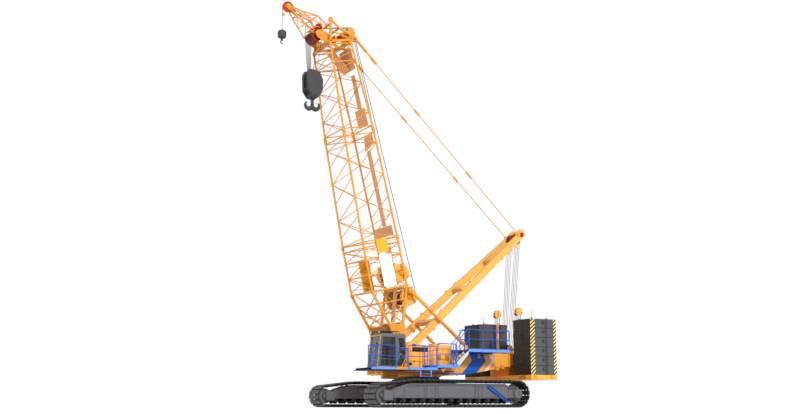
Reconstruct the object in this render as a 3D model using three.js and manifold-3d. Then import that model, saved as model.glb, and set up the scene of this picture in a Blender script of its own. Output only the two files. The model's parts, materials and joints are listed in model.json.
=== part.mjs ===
// A lattice-boom crawler crane of the 250 tonne class, parked on its tracks with an 18 m boom raised.
//
// Millimetres, +X forward, +Y left, +Z up. Everything is laid out from the slewing axis (X = Y = 0)
// on the ground, and the whole crane is then moved so that the centre of its box's base is the origin.

import * as THREE from 'three';
import { mergeVertices } from 'three/addons/utils/BufferGeometryUtils.js';
import Module from 'manifold-3d';

const wasm = await Module();
wasm.setup();

// ---------------------------------------------------------------------------------------------
// Driving dimensions
// ---------------------------------------------------------------------------------------------

const SEAT = 0.3; // gap between parts that rest on each other
const CLEAR = 6; // gap between parts that pass each other
const PIN_SIDES = 24; // sides of the pins that something turns on

// Undercarriage
const TRACK_LENGTH = 9200;
const TRACK_GAUGE = 6600; // between the centre lines of the two tracks
const SHOE_WIDTH = 1200;
const TRACK_HEIGHT = 1400;
const IDLER_LOWER = 200; // by how much the loop is lower over the front idler than over the sprocket
const CARRIER_X = 2300; // the top run is level back from here
const CARRIER_LOOP_RADIUS = 260;
const TRACK_THICKNESS = 180;
const SHOE_COUNT = 68;
const SHOE_GAP = 60;
const SHOE_STEP = 45;
const FRAME_WIDTH = 900;
const FRAME_BOTTOM = 460;
const FRAME_TO_LOOP = 90; // between the track frame's top and the loop's inside
const ROLLER_COUNT = 10;
const CARBODY_BOTTOM = 560;
const CARBODY_TOP = 1300;
const SLEW_RING_RADIUS = 1350;
const SLEW_RING_TOP = 1600;

// Turntable
const FLANK_OUTER = 1500; // half width over the two flank plates
const FLANK_WALL = 150;
const TURNTABLE_FLOOR = 1700;
const TURNTABLE_DECK = 2900;
const TURNTABLE_FRONT = 2250;
const TURNTABLE_REAR = -5020;

// Boom
const BOOM_FOOT_X = 1500;
const BOOM_FOOT_Z = 2450;
const BOOM_TILT = 12.65; // degrees forward of the vertical
const BOOM_HALF_WIDTH = 1200;
const BOOM_TOP_HALF_WIDTH = 1050;
const BOOM_HALF_DEPTH = 1055;
const BOOM_JOINT_HALF_DEPTH = 890;
const BOOM_TOP_HALF_DEPTH = 620;
const BOOM_KINK = 3750; // lengths along the boom from its foot
const BOOM_ROOT_END = 6250;
const BOOM_INSERT_END = 12300;
const BOOM_TOP_END = 17200;
const CHORD_RADIUS = 75;
const BRACE_RADIUS = 32;
const BRACE_GAP = 55; // along a chord from the middle of a joint to each brace's end
const BRACE_OFFSET = 37; // between the braces of two faces where they meet a chord

// Mast
const MAST_FOOT_X = 1050;
const MAST_FOOT_Z = 3145;
const MAST_TILT = 49.3; // degrees rearward of the vertical
const MAST_LENGTH = 10400;
const MAST_FOOT_Y = 1200;
const MAST_HEAD_Y = 430;
const MAST_LEG_WIDTH = 250;
const MAST_LEG_DEPTH = 360;

// Backstops and pendants
const BACKSTOP_Y = 1400;
const BACKSTOP_FOOT = { x: -2270, z: 3190 }; // on the turntable
const BACKSTOP_EYE = { x: -1092, z: 3495 }; // on the boom, front and along
const BACKSTOP_TUBE_RADIUS = 90;
const BACKSTOP_ROD_RADIUS = 55;
const PENDANT_MAST_EYE = { x: 150, z: 9907, y: 650 }; // on the mast, top side and along
const PENDANT_BOOM_EYE = { x: -1130, z: BOOM_TOP_END + 100, y: 800 }; // on the boom, front and along
const PENDANT_RADIUS = 28;

// Counterweight
const WEIGHT_FRONT = -5130;
const WEIGHT_REAR = -6850;
const WEIGHT_INNER = 1360;
const WEIGHT_OUTER = 3300;
const TRAY_BOTTOM = 1470;
const TRAY_TOP = 1720;
const SLAB_HEIGHT = 501;
const SLAB_COUNT = 6;

// Cab
const CAB_STANDOFF = 250; // from the turntable's flank to the cab
const CAB_WIDTH = 1110;
const CAB_FLOOR = 1950;
const CAB_HEIGHT = 1720;
const CAB_REAR = 2300;
const CAB_FRONT = 3890;
const CAB_WALL = 60;
const PLATFORM_OUTER = 3400;
const PLATFORM_FRONT = 4520;
const PLATFORM_DEPTH = 100;

// Hooks
const HEAD_SHEAVE_RADIUS = 330;
const TIP_SHEAVE_RADIUS = 290;
const MAIN_FALL_LENGTH = 1950;
const AUX_FALL_LENGTH = 1330;

// ---------------------------------------------------------------------------------------------
// Shapes and solids
// ---------------------------------------------------------------------------------------------

const CAB_INNER = FLANK_OUTER + CAB_STANDOFF;
const CAB_OUTER = CAB_INNER + CAB_WIDTH;
const radians = THREE.MathUtils.degToRad;

function block(x0, x1, y0, y1, z0, z1) {
  const shape = new THREE.BoxGeometry(x1 - x0, y1 - y0, z1 - z0);
  return shape.translate((x0 + x1) / 2, (y0 + y1) / 2, (z0 + z1) / 2);
}

// A side view outline [x, z] made into a plate from y0 to y1.
function plate(outline, y0, y1) {
  const shape = outline instanceof THREE.Shape ? outline : outlineShape(outline);
  const solidPlate = new THREE.ExtrudeGeometry(shape, { depth: y1 - y0, bevelEnabled: false });
  return solidPlate.rotateX(Math.PI / 2).translate(0, y1, 0);
}

// A plan view outline [x, y] made into a slab from z0 to z1.
function slab(outline, z0, z1) {
  const shape = outline instanceof THREE.Shape ? outline : outlineShape(outline);
  return new THREE.ExtrudeGeometry(shape, { depth: z1 - z0, bevelEnabled: false }).translate(0, 0, z0);
}

function outlineShape(outline) {
  return new THREE.Shape(outline.map(([x, z]) => new THREE.Vector2(x, z)));
}

// A cylinder across the crane, with its axis along Y.
function drum(x, z, radius, y0, y1, sides = 16) {
  const shape = new THREE.CylinderGeometry(radius, radius, y1 - y0, sides);
  return shape.translate(x, (y0 + y1) / 2, z);
}

function post(x, y, radius, z0, z1, sides = 12) {
  const shape = new THREE.CylinderGeometry(radius, radius, z1 - z0, sides).rotateX(Math.PI / 2);
  return shape.translate(x, y, (z0 + z1) / 2);
}

// The radius of a hole that a cylinder of the same number of sides turns in without touching.
function running(radius, sides = PIN_SIDES) {
  return (radius + SEAT) / Math.cos(Math.PI / sides);
}

function rod(from, to, radius, sides = 6, turn = 0) {
  const start = new THREE.Vector3(...from);
  const end = new THREE.Vector3(...to);
  const along = end.clone().sub(start);
  const shape = new THREE.CylinderGeometry(radius, radius, along.length(), sides).rotateY(turn);
  const tilt = new THREE.Quaternion().setFromUnitVectors(new THREE.Vector3(0, 1, 0), along.normalize());
  const middle = start.add(end).multiplyScalar(0.5);
  return shape.applyQuaternion(tilt).translate(middle.x, middle.y, middle.z);
}

// A four-sided brace, turned a little so that its edges miss those of the tubes it meets.
function brace(from, to, radius) {
  return rod(from, to, radius, 4, 0.3);
}

// A rectangular bar between two points: `width` across the crane, `depth` in the side view.
function bar(from, to, width, depth) {
  const start = new THREE.Vector3(...from);
  const end = new THREE.Vector3(...to);
  const along = end.clone().sub(start);
  const length = along.length();
  along.normalize();
  const side = new THREE.Vector3(0, 1, 0).addScaledVector(along, -along.y).normalize();
  const normal = new THREE.Vector3().crossVectors(side, along);
  const shape = new THREE.BoxGeometry(depth, width, length);
  shape.applyMatrix4(new THREE.Matrix4().makeBasis(normal, side, along));
  return shape.translate((start.x + end.x) / 2, (start.y + end.y) / 2, (start.z + end.z) / 2);
}

function solid(shape) {
  if (shape instanceof wasm.Manifold) return shape;
  const bare = shape.index ? shape.clone() : shape;
  bare.deleteAttribute('normal');
  bare.deleteAttribute('uv');
  const merged = mergeVertices(bare, 1e-3);
  return new wasm.Manifold(new wasm.Mesh({
    numProp: 3,
    vertProperties: new Float32Array(merged.attributes.position.array),
    triVerts: new Uint32Array(merged.index.array),
  }));
}

function join(...shapes) {
  return shapes.flat(Infinity).map(solid).reduce((whole, shape) => whole.add(shape));
}

function cut(body, ...tools) {
  return tools.flat(Infinity).map(solid).reduce((rest, tool) => rest.subtract(tool), solid(body));
}

function geometryOf(body) {
  const { vertProperties, triVerts } = solid(body).getMesh();
  const geometry = new THREE.BufferGeometry();
  geometry.setAttribute('position', new THREE.BufferAttribute(vertProperties, 3));
  geometry.setIndex(new THREE.BufferAttribute(triVerts, 1));
  geometry.computeVertexNormals();
  return geometry;
}

function mirrored(shape) {
  return solid(shape).mirror([0, 1, 0]);
}

function bothSides(shape) {
  return [shape, mirrored(shape)];
}

// ---------------------------------------------------------------------------------------------
// Materials
// ---------------------------------------------------------------------------------------------

function finish(color, roughness, metalness = 0) {
  return new THREE.MeshStandardMaterial({ color, roughness, metalness });
}

const boomYellow = finish(0xeca032, 0.45);
const mastYellow = finish(0xffbe5f, 0.45);
const housingYellow = finish(0xfcb05a, 0.45);
const railBlue = finish(0x3264b4, 0.5);
const frameGrey = finish(0x5c5c5c, 0.6);
const shoeSteel = finish(0x262626, 0.7, 0.4);
const weightGrey = finish(0x555658, 0.8);
const sheaveRed = finish(0x7a1410, 0.5);
const hookGrey = finish(0x464646, 0.5, 0.3);
const cabGrey = finish(0x646464, 0.5);
const glassDark = finish(0x373c40, 0.1);
const ropeGrey = finish(0x6c6c6c, 0.5, 0.6);

const crane = new THREE.Group();
const undercarriage = new THREE.Group();
const upperworks = new THREE.Group();
crane.add(undercarriage, upperworks);

function place(group, name, material, ...shapes) {
  const mesh = new THREE.Mesh(geometryOf(join(...shapes)), material);
  mesh.name = name;
  group.add(mesh);
  return mesh;
}

// ---------------------------------------------------------------------------------------------
// Undercarriage
// ---------------------------------------------------------------------------------------------

const sprocketX = -(TRACK_LENGTH - TRACK_HEIGHT) / 2;
const sprocketRadius = TRACK_HEIGHT / 2;
const idlerRadius = (TRACK_HEIGHT - IDLER_LOWER) / 2;
const idlerX = TRACK_LENGTH / 2 - idlerRadius;
const frameTop = TRACK_HEIGHT - TRACK_THICKNESS - FRAME_TO_LOOP;

// The loop runs round the sprocket, the idler and the last carrier roller, [x, z, radius].
const loopWheels = [[sprocketX, sprocketRadius, sprocketRadius], [idlerX, idlerRadius, idlerRadius],
  [CARRIER_X, TRACK_HEIGHT - CARRIER_LOOP_RADIUS, CARRIER_LOOP_RADIUS]];

// The angle at which the straight run from one wheel to the next leaves the first.
function leavingAngle([fromX, fromZ, fromRadius], [toX, toZ, toRadius]) {
  const span = Math.hypot(toX - fromX, toZ - fromZ);
  return Math.atan2(toZ - fromZ, toX - fromX) - Math.acos((fromRadius - toRadius) / span);
}

// The loop's side outline, `inset` inside the shoes' outer face, as a list of points.
function loopOutline(inset) {
  const points = [];
  loopWheels.forEach((wheel, index) => {
    const from = leavingAngle(loopWheels[(index + 2) % 3], wheel);
    let to = leavingAngle(wheel, loopWheels[(index + 1) % 3]);
    while (to < from) to += 2 * Math.PI;
    const steps = Math.max(2, Math.round(((to - from) / Math.PI) * 12));
    for (let step = 0; step <= steps; step += 1) {
      const angle = from + ((to - from) * step) / steps;
      const reach = wheel[2] - inset;
      points.push([wheel[0] + reach * Math.cos(angle), wheel[1] + reach * Math.sin(angle)]);
    }
  });
  return points;
}

// The shoes: flat faces all round the loop, with a step down between one shoe and the next.
function shoeOutline() {
  const path = new THREE.CurvePath();
  const corners = loopOutline(0).map(([x, z]) => new THREE.Vector2(x, z));
  corners.forEach((corner, index) => {
    path.add(new THREE.LineCurve(corner, corners[(index + 1) % corners.length]));
  });
  const length = path.getLength();
  const outline = [];
  const offsetPoint = (distance, depth) => {
    const at = (((distance / length) % 1) + 1) % 1;
    const point = path.getPointAt(at);
    const direction = path.getTangentAt(at);
    return [point.x - direction.y * depth, point.y + direction.x * depth];
  };
  for (let shoe = 0; shoe < SHOE_COUNT; shoe += 1) {
    const from = (shoe * length) / SHOE_COUNT;
    const to = ((shoe + 1) * length) / SHOE_COUNT;
    outline.push(offsetPoint(from + SHOE_GAP / 2, SHOE_STEP), offsetPoint(from + SHOE_GAP / 2 + 1, 0));
    outline.push(offsetPoint(to - SHOE_GAP / 2 - 1, 0), offsetPoint(to - SHOE_GAP / 2, SHOE_STEP));
  }
  return outline;
}

function trackLoop(centre) {
  const shape = outlineShape(shoeOutline());
  shape.holes.push(outlineShape(loopOutline(TRACK_THICKNESS)));
  return plate(shape, centre - SHOE_WIDTH / 2, centre + SHOE_WIDTH / 2);
}

// The hub of a wheel at one end of the loop, and the wider cap of the final drive outside the sprocket.
const hubRadius = (loopRadius) => (loopRadius - TRACK_THICKNESS) * 0.52;
const capRadius = (sprocketRadius - TRACK_THICKNESS) * 0.6;
const capReach = 560;

// A wheel at one end of the loop, its teeth or rim just inside the loop, with a hub on each side.
function endWheel(x, loopRadius, centre, capOut) {
  const rim = (loopRadius - TRACK_THICKNESS) * Math.cos(Math.PI / 24) - SEAT;
  const wheel = drum(x, loopRadius, rim, centre - 150, centre + 150, 24);
  const hub = drum(x, loopRadius, hubRadius(loopRadius), centre - 400, centre + 400, 20);
  const parts = [wheel, hub];
  if (capOut) {
    const start = centre + (capOut > 0 ? 0 : -capReach);
    parts.push(drum(x, loopRadius, capRadius, start, start + capReach, 20));
  }
  return parts;
}

function trackFrame(centre) {
  const inner = centre - FRAME_WIDTH / 2;
  const outer = centre + FRAME_WIDTH / 2;
  const rollerRadius = (FRAME_BOTTOM + 30 - TRACK_THICKNESS - SEAT) / 2;
  const rearEnd = sprocketX + sprocketRadius - TRACK_THICKNESS + 60;
  const frontEnd = idlerX - idlerRadius + TRACK_THICKNESS - 60;
  const beam = plate([[rearEnd, FRAME_BOTTOM], [frontEnd, FRAME_BOTTOM], [frontEnd, frameTop - 260],
    [CARRIER_X + 300, frameTop], [rearEnd, frameTop]], inner, outer);
  const parts = [beam];
  for (let roller = 0; roller < ROLLER_COUNT; roller += 1) {
    const x = rearEnd + 120 + ((frontEnd - rearEnd - 240) * roller) / (ROLLER_COUNT - 1);
    parts.push(drum(x, TRACK_THICKNESS + SEAT + rollerRadius, rollerRadius, centre - 250, centre + 250, 10));
  }
  for (const [x, radius] of [[sprocketX, sprocketRadius], [idlerX, idlerRadius]]) {
    for (const side of [-1, 1]) {
      const reaches = [250, FRAME_WIDTH / 2 - 20].map((reach) => centre + side * reach);
      const [low, high] = reaches.sort((p, q) => p - q);
      const drive = x < 0 && side * centre > 0;
      const wheel = drive ? capRadius : hubRadius(radius);
      const half = drive ? wheel * 0.6 : wheel + 40;
      const beyond = drive ? 60 : wheel + 50;
      const fork = x < 0
        ? block(x - beyond, rearEnd + 10, low, high, radius - half, radius + half)
        : block(frontEnd - 10, x + beyond, low, high, radius - half, radius + half);
      parts.push(cut(fork, drum(x, radius, wheel + SEAT, low - 1, high + 1, 20)));
    }
  }
  for (const x of [-2200, 0, CARRIER_X - 200]) {
    parts.push(block(x - 200, x + 200, centre - 120, centre + 120, frameTop - 10,
      TRACK_HEIGHT - TRACK_THICKNESS - SEAT));
  }
  return parts;
}

for (const [side, name] of [[1, 'left'], [-1, 'right']]) {
  const centre = (side * TRACK_GAUGE) / 2;
  place(undercarriage, `${name}_track`, shoeSteel, trackLoop(centre));
  place(undercarriage, `${name}_track_frame`, frameGrey, trackFrame(centre));
  place(undercarriage, `${name}_idler`, frameGrey, endWheel(idlerX, idlerRadius, centre, 0));
  place(undercarriage, `${name}_sprocket`, frameGrey, endWheel(sprocketX, sprocketRadius, centre, side));
}

const frameInner = (TRACK_GAUGE - FRAME_WIDTH) / 2 - SEAT;
place(undercarriage, 'carbody', frameGrey,
  slab([[1700, -1100], [1700, 1100], [1100, 1500], [-1100, 1500], [-1700, 1100], [-1700, -1100],
    [-1100, -1500], [1100, -1500]], CARBODY_BOTTOM + 60, CARBODY_TOP),
  block(800, 1500, -frameInner, frameInner, CARBODY_BOTTOM, frameTop),
  block(-1500, -800, -frameInner, frameInner, CARBODY_BOTTOM, frameTop));
place(undercarriage, 'slew_ring', frameGrey,
  post(0, 0, SLEW_RING_RADIUS, CARBODY_TOP + SEAT, SLEW_RING_TOP - 120, 32),
  post(0, 0, SLEW_RING_RADIUS - 120, SLEW_RING_TOP - 130, SLEW_RING_TOP, 32));

// ---------------------------------------------------------------------------------------------
// Turntable and what stands on it
// ---------------------------------------------------------------------------------------------

const innerEar = [950, 1030];
const webs = [480, 560];
const flankOutline = [[TURNTABLE_FRONT, TURNTABLE_FLOOR], [TURNTABLE_FRONT, 2250], [1750, 2700],
  [1300, 3380], [780, 3380], [400, TURNTABLE_DECK], [TURNTABLE_REAR, TURNTABLE_DECK],
  [TURNTABLE_REAR, 2230], [-3050, 1870], [-1970, TURNTABLE_FLOOR]];
const earOutline = [[1900, TURNTABLE_FLOOR], [1900, 2400], [1750, 2700], [1300, 3380], [780, 3380],
  [400, TURNTABLE_DECK], [400, TURNTABLE_FLOOR]];
const webOutline = [[TURNTABLE_FRONT, TURNTABLE_FLOOR], [TURNTABLE_FRONT, 2100],
  [400, 2100], [200, TURNTABLE_DECK], [TURNTABLE_REAR, TURNTABLE_DECK], [TURNTABLE_REAR, 2230],
  [-3050, 1870], [-1970, TURNTABLE_FLOOR]];
const floorOutline = [[TURNTABLE_FRONT, TURNTABLE_FLOOR], [TURNTABLE_FRONT, TURNTABLE_FLOOR + 60],
  [-1960, TURNTABLE_FLOOR + 60], [-3040, 1930], [TURNTABLE_REAR, 2290], [TURNTABLE_REAR, 2230],
  [-3050, 1870], [-1970, TURNTABLE_FLOOR]];
const bracketOutline = [[-220, TURNTABLE_DECK - 10], [220, TURNTABLE_DECK - 10],
  [90, BACKSTOP_FOOT.z + 90], [-90, BACKSTOP_FOOT.z + 90]].map(([x, z]) => [BACKSTOP_FOOT.x + x, z]);
const bracketGap = BACKSTOP_ROD_RADIUS + CLEAR;
place(upperworks, 'turntable_frame', housingYellow,
  bothSides(plate(bracketOutline, BACKSTOP_Y - bracketGap - 25, BACKSTOP_Y - bracketGap)),
  bothSides(plate(bracketOutline, BACKSTOP_Y + bracketGap, BACKSTOP_Y + bracketGap + 25)),
  bothSides(drum(BACKSTOP_FOOT.x, BACKSTOP_FOOT.z, 45, BACKSTOP_Y - bracketGap - 5,
    BACKSTOP_Y + bracketGap + 5, PIN_SIDES)),
  post(0, 0, SLEW_RING_RADIUS - 60, SLEW_RING_TOP + SEAT, TURNTABLE_FLOOR + 10, 32),
  plate(floorOutline, -FLANK_OUTER + 10, FLANK_OUTER - 10),
  bothSides(plate(flankOutline, FLANK_OUTER - FLANK_WALL, FLANK_OUTER)),
  bothSides(plate(earOutline, ...innerEar)),
  bothSides(plate(webOutline, ...webs)),
  block(TURNTABLE_REAR, -2200, -FLANK_OUTER + 10, FLANK_OUTER - 10, TURNTABLE_DECK - 50, TURNTABLE_DECK),
  block(-6300, TURNTABLE_REAR + 20, -1300, 1300, 2300, TURNTABLE_DECK),
  bothSides(drum(BOOM_FOOT_X, BOOM_FOOT_Z, 80, 960, FLANK_OUTER - 20, PIN_SIDES)),
  bothSides(drum(MAST_FOOT_X, MAST_FOOT_Z, 70, 960, FLANK_OUTER - 20, PIN_SIDES)));

// A handrail: posts with a top and a middle rail along a route of [x, y] points.
function rails(route, base, height, radius = 22) {
  const parts = [];
  route.forEach(([x, y], index) => {
    parts.push(rod([x, y, base - 20], [x, y, base + height + radius * 0.5], radius));
    if (index === 0) return;
    const [fromX, fromY] = route[index - 1];
    for (const level of [0.5, 1]) {
      parts.push(rod([fromX, fromY, base + height * level], [x, y, base + height * level], radius * 0.8));
    }
  });
  return parts;
}

const beside = FLANK_OUTER + SEAT;
const edge = PLATFORM_OUTER - 30;
const underPlatform = CAB_FLOOR - PLATFORM_DEPTH;
const beam = FLANK_OUTER + 300;
place(upperworks, 'cab_platform', railBlue,
  block(2400, PLATFORM_FRONT, FLANK_OUTER + 150, PLATFORM_OUTER, CAB_FLOOR - PLATFORM_DEPTH, CAB_FLOOR),
  block(1700, 4300, beam - 100, beam + 100, TURNTABLE_FLOOR + 20, underPlatform - SEAT),
  block(1700, 2100, beside, beam - 90, TURNTABLE_FLOOR + 20, underPlatform - SEAT),
  [2420, 4100].map((x) => block(x, x + 100, beam - 80, beam + 80, underPlatform - 20, CAB_FLOOR - 10)),
  rails([[PLATFORM_FRONT - 30, beam + 100], [PLATFORM_FRONT - 30, edge], [4200, edge]], CAB_FLOOR, 1100),
  rails([[3150, edge], [2430, edge]], CAB_FLOOR, 1050));
place(upperworks, 'rear_left_platform', railBlue,
  block(-3820, -1160, beside, WEIGHT_OUTER, TURNTABLE_DECK - 140, TURNTABLE_DECK + 60),
  rails([[-1190, 2500], [-1190, WEIGHT_OUTER - 30], [-2450, WEIGHT_OUTER - 30],
    [-3790, WEIGHT_OUTER - 30], [-3790, 1700]], TURNTABLE_DECK + 60, 1040));
place(upperworks, 'right_platform', railBlue,
  block(-3700, 1000, -PLATFORM_OUTER, -beside, underPlatform, CAB_FLOOR));

const stairInner = 2890;
const stairOuter = PLATFORM_OUTER;
const rise = (TURNTABLE_DECK + 60 - CAB_FLOOR - 160) / 5;
const stairParts = [stairInner, stairOuter - 50].map((y) => plate([[-250, CAB_FLOOR + 150],
  [-1060, TURNTABLE_DECK - 40], [-1160 + SEAT, TURNTABLE_DECK - 40], [-1160 + SEAT, TURNTABLE_DECK - 200],
  [-560, CAB_FLOOR + 60], [-250, CAB_FLOOR + 60]], y, y + 50));
for (let step = 1; step < 5; step += 1) {
  const x = -260 - step * 170;
  const z = CAB_FLOOR + 160 + step * rise;
  stairParts.push(block(x - 200, x, stairInner + 10, stairOuter - 10, z - 40, z));
}
place(upperworks, 'left_walkway', railBlue,
  block(760, 2400 - SEAT, beside + 200, PLATFORM_OUTER, underPlatform, CAB_FLOOR),
  block(-560, 780, beside, PLATFORM_OUTER, underPlatform, CAB_FLOOR + 160),
  block(760, 1600, beside, beside + 220, underPlatform, CAB_FLOOR - 10),
  rails([[2370, edge], [1450, edge]], CAB_FLOOR, 1050),
  rails([[1380, edge], [820, edge]], CAB_FLOOR, 1150),
  rails([[760, edge], [-200, edge]], CAB_FLOOR + 160, 1150),
  stairParts);

// Housings: sheet boxes with a doorway, open underneath.
function housing(x0, x1, y0, y1, z0, z1, wall) {
  return cut(block(x0, x1, y0, y1, z0, z1),
    block(x0 + wall, x1 - wall, y0 + wall, y1 - wall, z0 - 1, z1 - wall));
}

const housingTop = 3060;
const housingOuter = 2740;
const doorway = { x0: 1300, x1: 1840, z0: CAB_FLOOR + 80, z1: CAB_FLOOR + 800 };
place(upperworks, 'left_front_housing', housingYellow,
  cut(housing(1200, 2180, beside, housingOuter, CAB_FLOOR + SEAT, housingTop, 40),
    block(doorway.x0, doorway.x1, housingOuter - 60, housingOuter + 20, doorway.z0, doorway.z1)));
place(upperworks, 'left_housing_door', housingYellow,
  block(doorway.x0 - 20, doorway.x1 + 20, housingOuter + CLEAR, housingOuter + CLEAR + 25,
    doorway.z0 - 20, doorway.z1 + 20),
  post(doorway.x0 - 20, housingOuter + 13 + SEAT, 13, doorway.z0 - 30, doorway.z1 + 30, 16));
place(upperworks, 'left_rear_housing', housingYellow,
  cut(plate([[-520, CAB_FLOOR + 160 + SEAT], [580, CAB_FLOOR + 160 + SEAT], [580, 3180], [-380, 3180],
    [-480, 3120], [-520, 3000]], beside, housingOuter),
  block(-470, 530, beside + 50, housingOuter - 50, CAB_FLOOR, 3120)));
place(upperworks, 'engine_housing', housingYellow,
  housing(-3600, 900, -2950, -beside, CAB_FLOOR + SEAT, 2980, 40));
place(upperworks, 'engine_block', frameGrey,
  block(-2600, -1000, -2600, -1900, CAB_FLOOR + SEAT, 2800));
place(upperworks, 'boom_hoist_winch', sheaveRed,
  drum(-1450, 2620, 330, -420, 420, 20),
  bothSides(drum(-1450, 2620, 400, 380, 450, 20)),
  drum(-1450, 2620, 80, -webs[0] + SEAT, webs[0] - SEAT, 12));

// Counterweight
place(upperworks, 'counterweight_tray', housingYellow,
  block(WEIGHT_REAR, WEIGHT_FRONT, -WEIGHT_OUTER, WEIGHT_OUTER, TRAY_BOTTOM, TRAY_TOP),
  block(-6300, -5300, -900, 900, TRAY_TOP - 10, 2300 - SEAT));
const stackTop = TRAY_TOP + SLAB_HEIGHT * SLAB_COUNT;
for (const [side, name] of [[1, 'left'], [-1, 'right']]) {
  const outline = [[WEIGHT_FRONT, side * (WEIGHT_INNER + 330)], [WEIGHT_FRONT, side * WEIGHT_OUTER],
    [WEIGHT_REAR, side * WEIGHT_OUTER], [WEIGHT_REAR, side * WEIGHT_INNER],
    [WEIGHT_FRONT - 330, side * WEIGHT_INNER]];
  place(upperworks, `${name}_counterweight`, weightGrey,
    slab(side > 0 ? outline : outline.reverse(), TRAY_TOP + SEAT, stackTop));
  const y = side * 1050;
  place(upperworks, `${name}_weight_lift`, mastYellow,
    post(-5950, y, 85, TURNTABLE_DECK + SEAT, 4650),
    post(-5950, y, 55, 4640, 5100),
    block(-6150, -5750, y - 110, y + 110, 5050, 5400));
}

// Cab
const cabRoof = CAB_FLOOR + CAB_HEIGHT;
const cabOutline = [[2520, CAB_FLOOR + SEAT], [CAB_FRONT, CAB_FLOOR + SEAT], [3700, cabRoof],
  [2420, cabRoof], [2320, cabRoof - 60], [CAB_REAR, cabRoof - 200], [CAB_REAR, 2330]];
const cabInside = [[2520 + CAB_WALL, CAB_FLOOR + CAB_WALL], [CAB_FRONT - CAB_WALL - 10, CAB_FLOOR + CAB_WALL],
  [3700 - CAB_WALL - 10, cabRoof - CAB_WALL], [2450, cabRoof - CAB_WALL],
  [CAB_REAR + CAB_WALL, cabRoof - 210], [CAB_REAR + CAB_WALL, 2370]];
const doorOutline = [[2860, CAB_FLOOR + 80], [3790, CAB_FLOOR + 80],
  [3640, cabRoof - 130], [2860, cabRoof - 130]];
const doorWindow = [[2950, CAB_FLOOR + 500], [3670, CAB_FLOOR + 500],
  [3580, cabRoof - 210], [2950, cabRoof - 210]];
const rearSideWindow = [[2400, 2500], [2740, 2500], [2740, cabRoof - 210], [2480, cabRoof - 210],
  [2400, cabRoof - 300]];
const rightWindow = [[2480, 2500], [3640, 2500], [3570, cabRoof - 210], [2480, cabRoof - 210]];
place(upperworks, 'cab_shell', cabGrey,
  cut(plate(cabOutline, CAB_INNER, CAB_OUTER),
    plate(cabInside, CAB_INNER + CAB_WALL, CAB_OUTER - CAB_WALL),
    plate(doorOutline.map(([x, z], i) => [x + (i === 0 || i === 3 ? 40 : -40), z + (i < 2 ? 40 : -40)]),
      CAB_OUTER - CAB_WALL - 5, CAB_OUTER + 5),
    plate(rearSideWindow, CAB_OUTER - CAB_WALL - 5, CAB_OUTER + 5),
    plate(rightWindow, CAB_INNER - 5, CAB_INNER + CAB_WALL + 5),
    block(3600, 4000, CAB_INNER + 80, CAB_OUTER - 80, CAB_FLOOR + 250, cabRoof - 120),
    block(2200, 2380, CAB_INNER + 120, CAB_OUTER - 120, 2650, cabRoof - 250)),
  block(2300, 3700, CAB_OUTER, CAB_OUTER + CLEAR - 0.4, cabRoof - 175, cabRoof - 145));
place(upperworks, 'cab_door', cabGrey,
  cut(plate(doorOutline, CAB_OUTER + CLEAR, CAB_OUTER + CLEAR + 34),
    plate(doorWindow, CAB_OUTER, CAB_OUTER + 60)));
const seatSide = CAB_INNER + 330;
place(upperworks, 'cab_seat', glassDark,
  block(2720, 3150, seatSide, seatSide + 450, CAB_FLOOR + CAB_WALL + SEAT, CAB_FLOOR + 480),
  block(2640, 2800, seatSide, seatSide + 450, CAB_FLOOR + 400, CAB_FLOOR + 1150));

// A pane that fills a window, a seat's gap inside its edges.
function pane(outline, y0, y1, inset = 0.4) {
  const centreX = outline.reduce((sum, [x]) => sum + x, 0) / outline.length;
  const centreZ = outline.reduce((sum, [, z]) => sum + z, 0) / outline.length;
  const smaller = outline.map(([x, z]) => {
    const reach = Math.hypot(x - centreX, z - centreZ);
    const scale = (reach - inset * 1.5) / reach;
    return [centreX + (x - centreX) * scale, centreZ + (z - centreZ) * scale];
  });
  return plate(smaller, y0, y1);
}

place(upperworks, 'cab_door_glass', glassDark,
  pane(doorWindow, CAB_OUTER + CLEAR + 12, CAB_OUTER + CLEAR + 20));
place(upperworks, 'cab_side_glass', glassDark, pane(rearSideWindow, CAB_OUTER - 40, CAB_OUTER - 32));
place(upperworks, 'cab_right_glass', glassDark, pane(rightWindow, CAB_INNER + 26, CAB_INNER + 34));
place(upperworks, 'cab_rear_glass', glassDark,
  block(CAB_REAR + 26, CAB_REAR + 34, CAB_INNER + 120.4, CAB_OUTER - 120.4, 2650.4, cabRoof - 250.4));
place(upperworks, 'cab_windscreen', glassDark,
  plate([[3847 - 34, CAB_FLOOR + 250.4], [3855 - 34, CAB_FLOOR + 250.4], [3713 - 34, cabRoof - 120.4],
    [3705 - 34, cabRoof - 120.4]], CAB_INNER + 80.4, CAB_OUTER - 80.4));

// ---------------------------------------------------------------------------------------------
// Boom: built along +Z from its foot, front towards +X, then tilted forward
// ---------------------------------------------------------------------------------------------

const boom = new THREE.Group();
boom.position.set(BOOM_FOOT_X, 0, BOOM_FOOT_Z);
boom.rotation.y = radians(BOOM_TILT);
upperworks.add(boom);

// Half depth and half width of the lattice at a distance from the foot.
function boomSection(at) {
  const stations = [[0, BOOM_HALF_DEPTH, BOOM_HALF_WIDTH], [BOOM_ROOT_END, BOOM_HALF_DEPTH, BOOM_HALF_WIDTH],
    [BOOM_INSERT_END, BOOM_JOINT_HALF_DEPTH, BOOM_HALF_WIDTH - 40],
    [BOOM_TOP_END, BOOM_TOP_HALF_DEPTH, BOOM_TOP_HALF_WIDTH]];
  const next = Math.max(1, stations.findIndex(([station]) => station >= at));
  const [from, depthFrom, widthFrom] = stations[next - 1];
  const [to, depthTo, widthTo] = stations[next];
  const share = (at - from) / (to - from);
  return [THREE.MathUtils.lerp(depthFrom, depthTo, share), THREE.MathUtils.lerp(widthFrom, widthTo, share)];
}

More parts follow.
